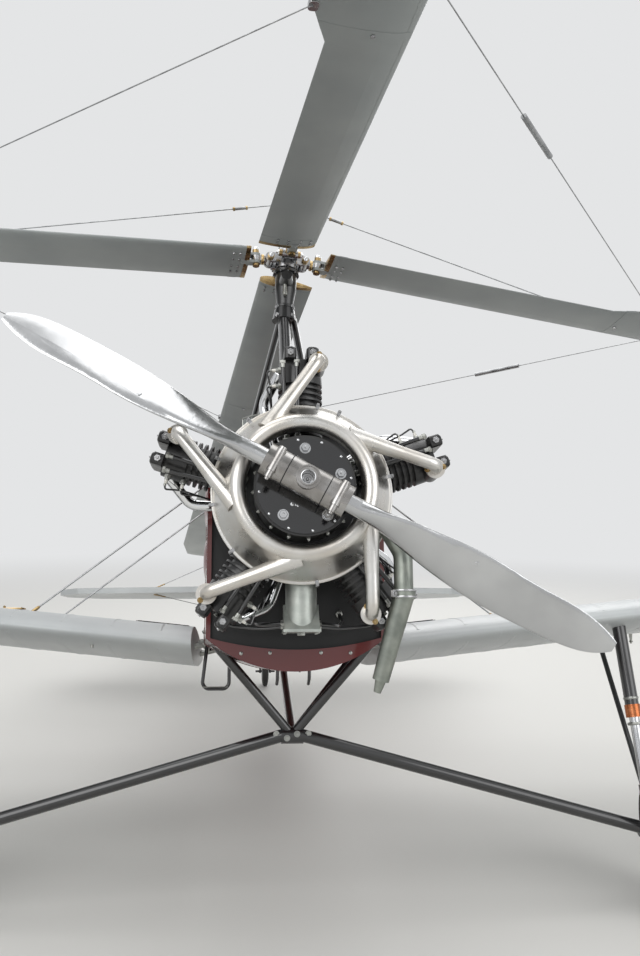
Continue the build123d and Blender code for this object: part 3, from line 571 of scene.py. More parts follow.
# turned steel, oiled, with fine tool rings; fired porcelain; a matt black card under glass
turnedSteel = finish("steel_turned", ("#8f8c89", "#a9a7a5"), 60, metallic=1.0, haze=(0.18, 0.3, 35),
                     grain=(1.2, 1.0, 0.015, (1, 0.06, 0.06)))
porcelain = finish("porcelain_glazed", ("#dcd9d0", "#e8e6df"), 12, 0.2, coat=(0.5, 0.05))
dialCard = finish("dial_card_printed", ("#0d0d0e", "#141415"), 20, 0.5, coat=(1.0, 0.02))

for row in frame["record"]["subparts"]:
    nodes[row["node"]].data.materials.clear()
    nodes[row["node"]].data.materials.append(materials[row["material_slot"]])
# the hub is turned, not buffed as the blades are, and the pushrods are enamelled
nodes["propeller_hub"].data.materials[0] = turnedSteel
nodes["pushrods"].data.materials[0] = materials["black_tube"]
print("materials set on", len(nodes), "nodes")


def fit(name, shapes, slotName, body="airframe", **settings):
    # a piece in the finish of one of the record's slots
    piece = makePiece(name, shapes, materials[slotName], body, **settings)
    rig.slot(piece, slotName)
    return piece


# Nose: plate, hub and exhaust ring. A nut's four numbers are its radius, height, stud and washer
noseFace = {"front": 82.0, "nutCircle": 130.0, "nutAngles": (90, 162, 234, 306, 18),
            "nut": (15.2, 14.6, 4.5, 19.5), "rimScrews": (12, 9, 360), "rimCircle": 161.0, "rimScrew": 4.5,
            "smallScrews": ((-46, -68, 6.5), (-33, -71, 3.5), (-26, -74, 3.5)),
            "studs": (16, 5, 360), "studStation": 150.0, "caseNose": 178.0, "stud": (6.5, 6, 3)}


def onShaft(radius, angle, station=0.0):
    angle = math.radians(angle)
    return np.array((radius * math.cos(angle), station, radius * math.sin(angle)))


shapes = []
for angle in noseFace["nutAngles"]:
    shapes += nut(onShaft(noseFace["nutCircle"], angle, noseFace["front"]), forward, *noseFace["nut"])
for across, height, radius in noseFace["smallScrews"]:
    shapes += screw((across, noseFace["front"], height), forward, radius)
for angle in around(*noseFace["rimScrews"]):
    shapes += screw(onShaft(noseFace["rimCircle"], angle, noseFace["front"]), forward, noseFace["rimScrew"])
fit("nose_plate_nuts", shapes, "polished_steel")
shapes = []
for angle in around(*noseFace["studs"]):
    way = onShaft(1, angle)
    shapes += nut(way * noseFace["caseNose"] + aft * noseFace["studStation"], way, *noseFace["stud"])
fit("crankcase_nose_studs", shapes, "steel_fittings")

hub = {"bore": 22.0, "bush": 25.0, "bushBack": 60.0, "bushFront": 67.4, "seam": 74.0, "seamInner": 51.0,
       "seamOuter": 54.4, "seamHalf": 1.9, "bladeTurn": -28.4, "shaftNut": (14, 9, 6)}
bore, outer, front = hub["bore"], hub["bush"], hub["bushFront"]
bush = ((bore + 0.1, hub["bushBack"]), (outer, hub["bushBack"]), (outer, front - 0.5), (outer - 1, front),
        (bore + 0.6, front), (bore + 0.1, front - 0.5))
shaftEnd = turned((0, 0, 0), forward, ((21.8, 4), (21.8, 8), (20.8, 9)), 32)
fit("hub_nose_bush", [hoop((0, 0, 0), forward, bush, 40), shaftEnd], "polished_steel", "propeller")
fit("hub_shaft_nut", nut(forward * 8, forward, *hub["shaftNut"]), "hub_steel", "propeller")
# black rings sunk in the seam grooves of the hub: painted shade that darkens the seams
inner, outer, half = hub["seamInner"], hub["seamOuter"], hub["seamHalf"]
seam = ((inner, -half), (outer, -half), (outer + 0.6, 0), (outer, half), (inner, half))
bladeWay = onShaft(1, hub["bladeTurn"])
shapes = [hoop(bladeWay * side * hub["seam"], bladeWay, seam) for side in (-1, 1)]
fit("hub_seam_rings", shapes, "black_casting", "propeller")

meetBlades = surfaceOf("propeller_blades")
plug = {"start": (564.8, -300, -285.0), "profile": ((9, -1), (9, 0.9), (8, 1.5), (3, 1.5), (2.4, 0.8))}
shapes = [turned(*meetBlades(plug["start"] * np.array((side, 1, side)), aft), plug["profile"])
          for side in (1, -1)]
fit("blade_balance_plugs", shapes, "polished_alloy", "propeller")

ring = {"flangeRadius": 327.0, "flangeStation": 250.0, "bead": 4.0, "clipNut": (5, 5, 2.4),
        "clip": (13, 24, 3), "clipLayers": ((-20, 1.5), (-18.5, 0), (-1.5, 0), (0, 1.5)),
        "clipAngles": (80, 65.5, 40, 11.5, -20, -48, -81, -112, -140, -172, 158, 126, 104)}
bead = roundSection(ring["flangeRadius"], ring["flangeStation"] - 4, ring["bead"])
fit("ring_flange_bead", [hoop((0, 0, 0), aft, bead, 160)], "satin_exhaust")
shapes = []
for angle in ring["clipAngles"]:
    radial = onShaft(1, angle)
    tangent = np.cross(radial, aft)
    place = radial * (ring["flangeRadius"] + 2) + aft * (ring["flangeStation"] + 4)
    shapes += [plate(ring["clip"], place, (tangent * way, radial), ring["clipLayers"]) for way in (1, -1)]
    shapes += nut(place + radial * 7 + forward * 20, forward, *ring["clipNut"])
fit("ring_clips", shapes, "hub_steel")

ports = {"radius": 497.0, "turns": (5, 83.0, -360), "flangeFront": 227.0, "apart": 30.5,
         "nut": (8.2, 9, 4.0, 10.5)}
shapes = []
for angle in around(*ports["turns"]):
    for out in (ports["radius"] - ports["apart"], ports["radius"] + ports["apart"]):
        shapes += nut(onShaft(out, angle, ports["flangeFront"]), forward, *ports["nut"])
fit("port_nuts", shapes, "brass_fittings")

# Engine, drawn for one cylinder as (outwards, station, round the shaft) and turned to all five
outwards, sideways = port, up
engine = {"turns": (5, 90.0, -360), "station": 360.0, "foot": 214.0, "footCircle": 76.0,
          "footNuts": (10, 0.3), "footNut": (6.6, 6, 3.2), "head": 520.0, "boxTop": 554.0, "boxSide": 42.0,
          "boxFront": 248.0, "box": (142, 40, 15), "boxLayers": ((-1, 0), (4, 0), (6, 2), (9, 8), (10, 14)),
          "capNut": (6.4, 7, 3.4), "rockerNut": (13, 8, 5), "rodCircles": (201, 516), "rodStation": 267,
          "rodLeads": ((4, 2), (15, 8)), "plugs": ((490.0, 334.0, 72.0), (428.0, 334.0, 72.0))}


def roundEngine(shapes):
    return sum((moved(shapes, turnBy(-angle, "Y")) for angle in around(*engine["turns"])), [])


shapes = []
for angle in around(*engine["footNuts"]):
    place = (engine["foot"], engine["station"] + engine["footCircle"] * math.cos(angle),
             engine["footCircle"] * math.sin(angle))
    shapes += nut(place, outwards, *engine["footNut"])
fit("cylinder_foot_nuts", roundEngine(shapes), "steel_fittings")

covers, caps = [], []
for side in (-1, 1):
    middle = np.array((engine["boxTop"], engine["station"] - 36, side * engine["boxSide"]))
    covers.append(plate(engine["box"], middle, upright, engine["boxLayers"]))
    for along in (-52, 52):
        caps += nut(middle + (4, along, 0), outwards, *engine["capNut"])
    caps += nut((engine["head"] + 16, engine["boxFront"], middle[2]), forward, *engine["rockerNut"])
fit("rocker_covers", roundEngine(covers), "cylinder_black")
fit("rocker_cover_nuts", roundEngine(caps), "hub_steel")

# each pushrod runs from the cam case to its rocker; glands close both ends
glands = []
for leads in engine["rodLeads"]:
    foot, top = (onShaft(radius, lead, engine["rodStation"])
                 for radius, lead in zip(engine["rodCircles"], leads))
    glands += [turned(foot, top - foot, ((14, 2), (14, 12), (12, 14)), 6),
               turned(foot, top - foot, ((11, 13), (11, 26), (9, 28)), 16),
               turned(top, foot - top, ((12, 3), (12, 13), (10, 15)), 6),
               turned(top, foot - top, ((9.6, 14), (9.6, 30)), 16)]
fit("pushrod_glands", roundEngine(glands), "steel_fittings")

steelBody, white, leads = [], [], []
for place in np.array(engine["plugs"]):
    steelBody += [turned(place, sideways, ((13, 0), (13, 13), (11.5, 14.5)), 6),
                  turned(place, sideways, ((9, 14), (9, 20), (7.5, 22)), 20),
                  turned(place, sideways, ((5, 36), (5.6, 38), (5.6, 43), (4, 45)), 14)]
    white.append(turned(place, sideways, ((7, 21), (6.6, 30), (5, 37)), 20))
    corners = [place + (0, 0, 41), place + (-6, 4, 56), place + (-60, 12, 40), (300, 380, 106),
               (238, 430, 96), (219, 470, 92)]
    leads.append(tube(rounded(corners, 26), 3.6, 10))
fit("spark_plugs", roundEngine(steelBody), "steel_fittings")
makePiece("spark_plug_insulators", roundEngine(white), porcelain)
harness = hoop((0, 0, 0), aft, roundSection(213, 470, 6.5), 96)
fit("ignition_conduits", roundEngine(leads) + [harness], "black_tube")

# rear of the engine: magnetos, carburettor, strainer and the pipes to the firewall
rear = {"magneto": (84, 524, 66), "bowl": (0, 588, -196), "inlet": (0, 588, -324), "pump": (62, 588, -262),
        "strainer": (-96, 596, -120), "magnetoBand": ((33, 22), (36, 22), (36, 34), (33, 34)),
        "strainerBand": ((31, 70), (34.5, 70), (34.5, 80), (31, 80)),
        "magnetoProfile": ((30, 0), (34, 6), (34, 48), (40, 50), (40, 66), (36, 72), (20, 76)),
        "inletProfile": ((44, -34), (40, -30), (30, 0), (30, 6)),
        "pumpProfile": ((22, 0), (24, 4), (24, 44), (20, 50), (7, 52), (7, 60)),
        "strainerProfile": ((30, 0), (32, 4), (32, 92), (28, 98), (10, 100), (10, 112))}
black, bright, lines, brass = [], [], [], []
for side in (-1, 1):
    place = rear["magneto"] * np.array((side, 1, 1))
    black.append(turned(place, aft, rear["magnetoProfile"], 32))
    brass.append(hoop(place, aft, rear["magnetoBand"], 32))
    for angle in around(5, 0, 360):
        bright.append(turned(place + onShaft(27, angle, 70), aft, ((4, 0), (4, 9), (3, 11)), 10))
black += [plate((92, 74, 14), rear["bowl"], flat, ((-128, 3), (-125, 0), (-3, 0), (0, 3))),
          turned(rear["inlet"], up, rear["inletProfile"], 32)]
brass.append(turned(rear["pump"], up, rear["pumpProfile"]))
bright.append(turned(rear["strainer"], up, rear["strainerProfile"], 28))
brass.append(hoop(rear["strainer"], up, rear["strainerBand"], 28))
pipes = (
    # radius, bend and the corners of each run
    (8, 40, ((-58, 336, -462), (-150, 380, -466), (-190, 520, -440), (-190, 642, -400))),
    (8, 40, ((58, 336, -462), (140, 400, -470), (170, 540, -450), (170, 642, -410))),
    (6, 30, ((-96, 596, -118), (-96, 596, -190), (-190, 600, -230), (-190, 642, -230))),
    (6, 30, ((62, 588, -206), (62, 588, -150), (150, 600, -120), (150, 642, -90))),
    (5, 30, ((-308, 330, -424), (-262, 350, -470), (-140, 340, -482), (-60, 334, -474))),
    (5, 30, ((308, 330, -424), (262, 350, -470), (140, 340, -482), (60, 334, -474))),
)
for radius, bend, corners in pipes:
    path = rounded(corners, bend)
    lines.append(tube(path, radius, 14))
    union = ((radius * 1.8, -2), (radius * 1.8, 12), (radius * 1.5, 14))
    brass += [turned(path[0], path[1] - path[0], union, 6), turned(path[-1], path[-2] - path[-1], union, 6)]
fit("rear_castings", black, "black_casting")
fit("rear_fittings", bright, "hub_steel")
fit("oil_pipes", lines, "black_tube")
fit("pipe_unions", brass, "steel_fittings")

# clamp of the tail pipe and the bolts of the sump
clamp = {"place": (353, 186, -352), "turns": (40, 220), "ear": (26, 26, 4),
         "earLayers": ((-14, 2), (-12, 0), (-2, 0), (0, 2)),
         "section": ((41, 2), (45, 2), (45.8, 5), (45, 8), (41, 8), (41, 24), (45, 24), (45.8, 27), (45, 30),
                     (41, 30), (39, 30), (39, 2))}
shapes = [hoop(clamp["place"], down, clamp["section"])]
for turn in clamp["turns"]:
    way = onShaft(1, turn)[[0, 2, 1]]
    spot = clamp["place"] + down * 16 + way * 50
    side = np.cross(way, up)
    shapes.append(plate(clamp["ear"], spot + side * 7, (way, up), clamp["earLayers"]))
    shapes += nutPair(spot + way * 4, side, 7, (6, 6, 3), (6, 5))
fit("tail_pipe_clamp", shapes, "hub_steel")
shapes = []
for across in (-58, 58):
    for along in (276, 330, 384):
        shapes += nutPair((across, along, -490), up, 5, (5.5, 6, 2.6), (5.5, 5))
shapes.append(turned((0, 330, -495), down, ((16, -1), (16, 9), (14, 11)), 6))
fit("sump_bolts", shapes, "steel_fittings")
print("nose and engine fitted")


# Rotor, drawn in the axes of one blade: x out along the span, y towards the leading edge, z up
rotor = {"place": (0, 1400, 1407), "tiltPort": 2.5, "tiltAft": 5.0, "azimuth": 7.1, "droop": 4.0,
         "pitch": 5.0, "flapPin": 88.0, "dragPin": 158.0, "lead": 106.0, "stay": 1800.0, "apex": 333.0,
         "crest": 0.32, "strap": -262.0, "tieLead": (2050.0, 102.0, 1), "tieTrail": (1890.0, -246.0, -1)}
bladeRows = np.array((
    # distance out, chord, half thickness
    (196, 279, 21), (1717, 279, 21), (2150, 470, 27), (5310, 470, 25), (5550, 376, 17), (5640, 197.4, 5))).T


def rotorMatrix(quarter=0, drooped=False, pitched=False):
    made = (Matrix.Translation(rotor["place"]) @ turnBy(rotor["tiltPort"], "Y")
            @ turnBy(-rotor["tiltAft"], "X") @ turnBy(rotor["azimuth"] - 90 + 90 * quarter, "Z"))
    if drooped:
        pin = Matrix.Translation((rotor["flapPin"], 0, 0))
        made = made @ pin @ turnBy(rotor["droop"], "Y") @ pin.inverted()
    return made @ turnBy(rotor["pitch"], "X") if pitched else made


def onEveryBlade(shapes, *state):
    return sum((moved(shapes, rotorMatrix(quarter, *state)) for quarter in range(4)), [])


def bladeBand(outs, shareEnd, grow, sink=3.0):
    # a skin over the nose of the section up to a share of the chord, from the first to the last distance out:
    # half height = half * sqrt(1 - (1 - s)^2) up to the crest, then falling with the square to the tail
    share = shareEnd * np.sin(np.linspace(0, math.pi / 2, 14)) ** 2
    fade, crest = (1 - share / shareEnd) ** 4, rotor["crest"]
    rings = []
    for out, lift in outs:
        chord, half = (np.interp(out, bladeRows[0], row) for row in bladeRows[1:])
        front = half * np.sqrt(np.clip(1 - (1 - share / crest) ** 2, 0, 1))
        back = half - (half - 1.5) * ((share - crest) / (1 - crest)) ** 2
        height = np.where(share < crest, front, back)
        over = grow + lift
        outer = np.stack((share * chord - over * fade, height + over), -1)
        loop = np.concatenate((outer[::-1], outer[1:] * (1, -1)))
        if shareEnd < 1:
            inner = np.stack((share * chord + sink * fade, np.maximum(height - sink, 0)), -1)
            loop = np.concatenate((loop, (inner[1:] * (1, -1))[::-1], inner))
        rings.append(np.stack((np.full(len(loop), out), rotor["lead"] - loop[:, 0], loop[:, 1]), -1))
    return closedRows(np.array(rings))


# strips over the leading edges in the blades' doped silver, end ribs and clamp bands
strip = bladeBand([(out, 0) for out in (232, 900, 1717, 2150, 3700, 5300)], 0.075, 0.7)
rib = bladeBand(((194.5, -3), (195, 1.2), (218, 1.2), (218.5, -3)), 1.0, 0)
bands = [bladeBand(((out - 22, -3), (out - 21.5, 1.3), (out + 21.5, 1.3), (out + 22, -3)), 1.0, 0)
         for out in (rotor["stay"], 262)]
fit("blade_edge_strips", onEveryBlade([strip], True, True), "silver_blade", "rotor")
fit("blade_root_ribs", onEveryBlade([rib], True, True), "brass_fittings", "rotor")
fit("blade_clamp_bands", onEveryBlade(bands, True, True), "silver_blade", "rotor")
shapes = []
for out in (246, 278):
    for across in (70, 20, -40, -90):
        shapes += nutPair((out, across, 0), up, 18, (6, 8, 3), (6, 8))
for out, across, way in (rotor["tieLead"], rotor["tieTrail"]):
    shapes.append(plate((46, 34, 12), (out, across, 0), flat, ((-9, 1), (-8, 0), (8, 0), (9, 1))))
    shapes += nutPair((out, across + way * 8, 0), up, 8, (7, 7, 3.6), (7, 7))
shapes += nutPair((rotor["stay"], -30, 0), up, 21, (10, 8, 5, 15), (9, 8))
fit("blade_bolts", onEveryBlade(shapes, True, True), "hub_steel", "rotor")

# head: caps of the pins, collars of the links and bolts of the hub
cap = ((17, 49), (17.5, 51), (17.5, 57), (15, 62), (8, 65.5), (3.5, 66.5), (3.5, 71), (2.5, 72))
collar = ((15, 0), (25, 0), (26.5, 3), (26.5, 11), (25, 14), (15, 14))
shapes = [turned((rotor["dragPin"], 0, 0), up, cap, 28)]
shapes += nutPair((rotor["flapPin"], 0, 0), aft, 53, (15, 9, 7))
fit("rotor_pin_caps", onEveryBlade(shapes, True), "chrome_tube", "rotor")
collars = onEveryBlade([hoop((rotor["flapPin"] + 30, 0, 0), port, collar, 32)], True)
fit("rotor_link_collars", collars, "brass_fittings", "rotor")
shapes = [turned((0, 0, 49), up, ((34, 0), (34, 4), (28, 8), (20, 9)), 32)]
for spot in ringOf(8, port, aft, math.pi / 8) * 42:
    shapes += nut(spot + up * 49, up, 6.5, 6, 3)
shapes += [ball(spot + up * rotor["apex"], 7.5, 6, 12) for spot in ringOf(4, port, aft) * 26.5]
fit("rotor_hub_bolts", moved(shapes, rotorMatrix(1)), "hub_steel", "rotor")

# droop stays: sockets at both ends and sleeves round the barrel
top = np.array((24.0, 0.0, rotor["apex"]))
stayEnd = np.array(rotorMatrix(0).inverted() @ rotorMatrix(0, True, True) @ Vector((rotor["stay"], -30, 0)))
along = unit(stayEnd - top)
shapes = [turned(top, along, ((5, 2), (7, 8), (7, 42), (4, 52)), 14),
          turned(stayEnd, -along, ((9, 12), (9, 30), (6.5, 88), (5, 104)), 14)]
shapes += [turned(top, along, ((6, start), (10, start + 1.5), (10, start + 11), (6, start + 12.5)), 6)
           for start in (196, 262)]
fit("stay_sockets", onEveryBlade(shapes), "brass_fittings", "rotor")

# fixed head: flange bolts, oiler in front of the mast, and strap
meetMast = surfaceOf("rotor_head", "rotor_pylon")
mast = {"middle": -12.0, "apart": 37.0, "heights": (1149.0, 1096.5), "nut": (9, 8, 4.5, 12), "oilerRow": 1318,
        "oiler": ((9, 0), (13, 4), (13, 14), (11, 18), (10, 40), (6, 90), (2.5, 128), (1, 132))}
shapes = []
for side in (-1, 1):
    for height in mast["heights"]:
        place = meetMast((mast["middle"] + side * mast["apart"], 1150, height), aft)[0]
        shapes += nut(place, forward, *mast["nut"])
flange = sum((nutPair(spot - up * 69, up, 6, (4.4, 4, 2)) for spot in ringOf(10, port, aft) * 62), [])
fit("mast_bolts", shapes + moved(flange, rotorMatrix(0)), "hub_steel")
pipe = [(mast["middle"], row, height)
        for row, height in ((1350, 1192), (1334, 1200), (mast["oilerRow"], 1200))]
oiler = turned((mast["middle"], mast["oilerRow"], 1196), (0, 0.06, 1), mast["oiler"])
fit("spindle_oiler", [oiler, tube(pipe, 7)], "steel_fittings")
strap = hoop(up * rotor["strap"], up, ((46, -6), (51, -5), (51, 7), (46, 8)))
fit("mast_strap", moved([strap], rotorMatrix(0)), "black_casting")
print("rotor fitted")


# Fuselage: bands, fasteners, louvres, stringers, filler cap and access covers
def arc(halfWidth, edge, peak):
    # circle through both edges and the peak: radius = (halfWidth^2 + rise^2) / (2 * rise)
    radius = (halfWidth ** 2 + (peak - edge) ** 2) / (2 * (peak - edge))
    turn = np.linspace(-1, 1, 33) * math.asin(halfWidth / abs(radius))
    return np.stack((-radius * np.sin(turn), peak - radius * (1 - np.cos(turn))), -1)


def hullBand(station, halfWidth, top, shoulder, chine, bottom, width, proud):
    # a strip round the hull: a small closed section carried round the outline of one section
    crown, belly = arc(halfWidth, shoulder, top), arc(halfWidth, chine, bottom)
    side = np.linspace(0, 1, 18)[1:-1, None]
    outline = np.concatenate((crown, crown[-1] + (belly[0] - crown[-1]) * side,
                              belly, belly[-1] + (crown[0] - belly[-1]) * side))
    way = np.roll(outline, -1, 0) - np.roll(outline, 1, 0)
    outward = unit(np.stack((way[:, 1], -way[:, 0]), -1))
    outward *= np.sign(((outline - outline.mean(0)) * outward).sum(1))[:, None]
    section = ((-0.5, -3), (-0.5, proud * 0.6), (-0.42, proud), (0.42, proud), (0.5, proud * 0.6), (0.5, -3))
    return loopRows(np.array([np.insert(outline + outward * out, 1, station + along * width, axis=1)
                              for along, out in section]))


def clockWay(degrees):
    # square to the hull's line, turned from straight up towards port
    return onShaft(1, 90 - degrees)


hull = {"cowlEnd": (1100.0, 372.0, 380.0, 215.0, -515.0, -632.0, 26, 2.2),
        "tubEnd": (3060.0, 322.0, 372.0, 215.0, -415.0, -500.0, 34, 2.0)}
fit("hull_bands", [hullBand(*hull["cowlEnd"]), hullBand(*hull["tubEnd"])], "maroon_fabric")

meetCowl, meetTub, meetTail = surfaceOf("nose_cowl"), surfaceOf("fuselage_tub"), surfaceOf("fuselage_tail")
cowl = {"chinScrews": ((-102.6, -562), (96.1, -562), (-215, -563.61), (212, -563.53)),
        "rows": (650, 1074, 1126), "heights": (150, 20, -110, -240, -370, -480),
        "turns": (-50, -25, 0, 25, 50),
        "fastener": ((8, -1), (8, 1.2), (7, 2.0), (2.5, 2.0), (2, 1.0))}
shapes = []
for across, height in cowl["chinScrews"]:
    shapes += screw(*meetCowl((across, 500, height), aft), 7)
for station in cowl["rows"]:
    starts = [((side * 600, station, height), -side * port)
              for height in cowl["heights"] for side in (-1, 1)]
    starts += [(clockWay(turn) * 700 + (0, station, 100), -clockWay(turn)) for turn in cowl["turns"]]
    meet = meetTub if station > 1100 else meetCowl
    shapes += [turned(*meet(*start), cowl["fastener"], 18) for start in starts]
fit("cowl_fasteners", shapes, "steel_fittings")

# louvre: half a shell that rises towards its rear edge, where a black sheet is painted shade in place of the dark
# opening, out = height * sin(pi u) ^ 0.6 * v ^ 0.8 for u up the slot and v along the airflow
louvre = {"start": 780.0, "step": 42.0, "count": 6, "heights": (60.0, -170.0), "rise": 11.0, "long": 26.0,
          "tall": 150.0, "mouth": (0.72, 136.0)}
louvreU, louvreV = np.meshgrid(np.linspace(0, 1, 15), np.linspace(0, 1, 8), indexing="ij")
bulge = louvre["rise"] * np.sin(np.pi * louvreU) ** 0.6
shapes, slots = [], []
for k in range(louvre["count"]):
    for height in louvre["heights"]:
        x, y, z = meetCowl((600, louvre["start"] + k * louvre["step"], height), -port)[0]
        rise = bulge * louvreV ** 0.8
        upper = np.stack((rise + 0.4, louvreV * louvre["long"], (louvreU - 0.5) * louvre["tall"]), -1)
        upper += (x, y, z)
        lower = upper.copy()
        lower[..., 0] = x - 3
        shapes.append(closedRows(np.concatenate((upper, lower[:, ::-1]), 1)))
        # mouth: a black sheet just inside the rear edge, painted shade for the dark inside of the opening
        out, rows = bulge[:, 0] * louvre["mouth"][0], (louvreU[:, 0] - 0.5) * louvre["mouth"][1]
        rim = np.stack((np.append(x + 0.2 + out, np.full(15, x - 2)), z + np.append(rows, rows[::-1])), -1)
        slots.append(closedRows(np.array([np.insert(rim, 1, y + along, axis=1) for along in (24, 26.5)])))
fit("cowl_louvres", bothSides(shapes), "maroon_panel", edge=50)
# the mouths take black enamel as painted shade
fit("cowl_louvre_mouths", bothSides(slots), "firewall_sheet")

# stringers lift the fabric of the rear fuselage; each line follows the side where rays meet it
sideRows = ((3060, 4150, 5032), (-415, -275, -185), (215, 140, 80))
stations = np.linspace(3082, 4990, 26)
shapes = []
for share in (0.1, 0.3, 0.5, 0.7, 0.9):
    line = []
    for station in stations:
        low, high = (np.interp(station, sideRows[0], row) for row in sideRows[1:])
        height = low + (high - low) * share
        if station > 4200 and -60 < height < 30:
            break
        place, way = meetTail((600, station, height), -port)
        line.append(place - way * 1.6)
    shapes.append(tube(line, 5.0, 10))
shapes = bothSides(shapes)
for turn in (0, 38, -38, 180):
    met = [meetTail(aft * station + clockWay(turn) * 600, -clockWay(turn))
           for station in (stations if turn == 180 else stations[:-1])]
    shapes.append(tube([place - way * 1.6 for place, way in met], 5.0, 10))
fit("stringer_ridges", shapes, "maroon_fabric")

covers = (
    # station, height, radius of each round access cover on the sides
    (1330, -300, 60), (2780, -120, 62), (3600, -90, 55), (4560, -60, 42))
shapes = []
for station, height, radius in covers:
    for side in (-1, 1):
        meet = meetTub if station < 3060 else meetTail
        place, way = meet((side * 600, station, height), (-side, 0, 0))
        disc = ((radius, -6), (radius, 1.0), (radius - 1.5, 1.8), (radius - 6, 2.2))
        shapes.append(turned(place, way, disc, 48))
        for arm in ringOf(6, *squareTo(way)) * (radius - 9):
            shapes += screw(place + arm + way * 2, way, 3.4)
fit("access_covers", shapes, "maroon_panel")

place, way = meetTub((96, 1225, 800), down)
cap = ((40, -4), (40, 3), (33, 6), (31, 7), (31, 16), (28, 19), (12, 20), (9, 24), (4, 25))
handle = plate((54, 9, 4), place + way * 20, squareTo(way), ((-1, 1), (0, 0), (5, 0), (7, 2)))
fit("fuel_filler", [turned(place, way, cap, 40), handle], "brass_fittings")

# handholds beside the cockpits and vent pipes under the belly
shapes = []
for station in (1480, 2400):
    for side in (-1, 1):
        low = meetTub((side * 700, station - 90, 250), -side * port)[0]
        high, way = meetTub((side * 700, station + 90, 250), -side * port)
        corners = [low - way * 4, low + way * 34, high + way * 34, high - way * 4]
        shapes.append(tube(rounded(corners, 22), 6.5))
for across, station in ((-70, 700), (60, 760), (110, 2100)):
    place = (meetCowl if station < 1100 else meetTub)((across, station, -900), up)[0]
    shapes.append(tube(rounded((place + (0, 0, 12), place - (0, 0, 30), place + (0, 60, -52)), 20), 7))
fit("handholds_and_vents", shapes, "black_tube")

# Cockpits: rolled coamings, dials, levers, shield frames and cushions
cockpit = {"wells": (1350.0, 2270.0), "well": (530.0, 640.0, 110.0, 12), "roll": 16.0, "rollSteps": 180,
           "stitches": 84, "stitch": ((0.6, 0), (1.5, 1), (1.5, 5), (0.6, 6)), "knob": 11.0,
           "levers": ((-300, 0.15), (-284, -0.2))}
meetRoll = surfaceOf("coaming_rolls")
shapes, thread = [], []
for start in cockpit["wells"]:
    side = roundedBox(*cockpit["well"]) + (0, start + cockpit["well"][1] / 2)
    gap = np.linalg.norm(np.roll(side, -1, 0) - side, axis=1)
    reach, side = np.append(0, np.cumsum(gap)), np.concatenate((side, side[:1]))
    at = np.linspace(0, reach[-1], cockpit["rollSteps"], endpoint=False)
    plan = zip(*(np.interp(at, reach, column) for column in side.T))
    line = np.array([meetRoll((x, y, 900), down)[0] for x, y in plan])
    for _ in range(6):
        line = (np.roll(line, 1, 0) + line * 2 + np.roll(line, -1, 0)) / 4
    line[:, 2] -= cockpit["roll"] - 1
    puff = 1 + 0.02 * np.sin(at / 9) + 0.015 * np.sin(at / 23 + 1)
    shapes.append(loopTube(line, cockpit["roll"] * puff, 20))
    way = unit(np.roll(line, -1, 0) - np.roll(line, 1, 0))
    outward = np.cross(way, up)
    outward *= np.sign((outward * (line - line.mean(0))).sum(1))[:, None]
    edge = line + outward * cockpit["roll"] * 0.82 + up * cockpit["roll"] * 0.62
    for k in np.linspace(0, cockpit["rollSteps"], cockpit["stitches"], endpoint=False).astype(int):
        thread.append(turned(edge[k] - way[k] * 3, way[k], cockpit["stitch"], 6))
rolls = fit("coaming_padding", shapes, "coaming_leather")
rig.replaces(rolls, "coaming_rolls")
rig.padded(rolls, fill=0.8)
fit("coaming_stitches", thread, "dash_board")

dials = (
    # across, height, radius of each dial on a panel
    (-150, 225, 40), (-52, 250, 40), (52, 250, 40), (150, 225, 40),
    (-105, 135, 30), (0, 145, 46), (105, 135, 30))
bezels, cards, marks = [], [], []
for start in cockpit["wells"]:
    for number, (across, height, radius) in enumerate(dials):
        place = np.array((across, start - 30, height))
        rim = ((-5, -1), (4, -1), (4, 3), (1, 7), (-4, 7), (-5, 4))
        bezels.append(hoop(place, aft, np.array(rim) + (radius, 0), 40))
        for turn in (45, 135, 225, 315):
            bezels += screw(place + onShaft(radius + 8, turn), aft, 2.6)
        cards.append(turned(place, aft, ((radius - 4, -1), (radius - 4, 2.4)), 36))
        for turn in range(-120, 121, 24):
            way = clockWay(turn)
            spot = place + way * (radius - 9) + aft * 2.2
            marks.append(tube((spot - way * 3, spot + way * 3), 0.8, 6))
        way, spot = clockWay((number * 67 + 20) % 240 - 120), place + aft * 4
        marks.append(tube((spot - way * 6, spot + way * (radius - 14)), (1.8, 0.7), 6))
        marks.append(turned(place, aft, ((3.6, 2), (3.6, 5), (2.6, 5.8)), 12))
fit("dial_bezels", bezels, "black_casting")
makePiece("dial_cards", cards, dialCard)
makePiece("dial_marks", marks, porcelain)

shapes, knobs = [], []
for start in cockpit["wells"]:
    for across, lean in cockpit["levers"]:
        foot = np.array((across, start + 120, 30))
        tip = foot + (14, 90 * lean, 88)
        shapes.append(tube((foot - up * 10, tip), 3.5, 10))
        knobs.append(ball(tip, cockpit["knob"]))
    shapes.append(plate((120, 70, 12), (-312, start + 120, 10), upright,
                        ((-3, 1), (-2, 0), (32, 0), (34, 2))))
    for side in (-1, 1):
        bar = np.array((side * 95, start - 190, -430))
        shapes.append(tube(rounded((bar - port * 70, bar + port * 70), 10), 11))
        shapes.append(tube((bar, bar + (0, -40, -110)), 9))
fit("cockpit_levers", shapes, "black_tube")
fit("lever_knobs", knobs, "dash_board")

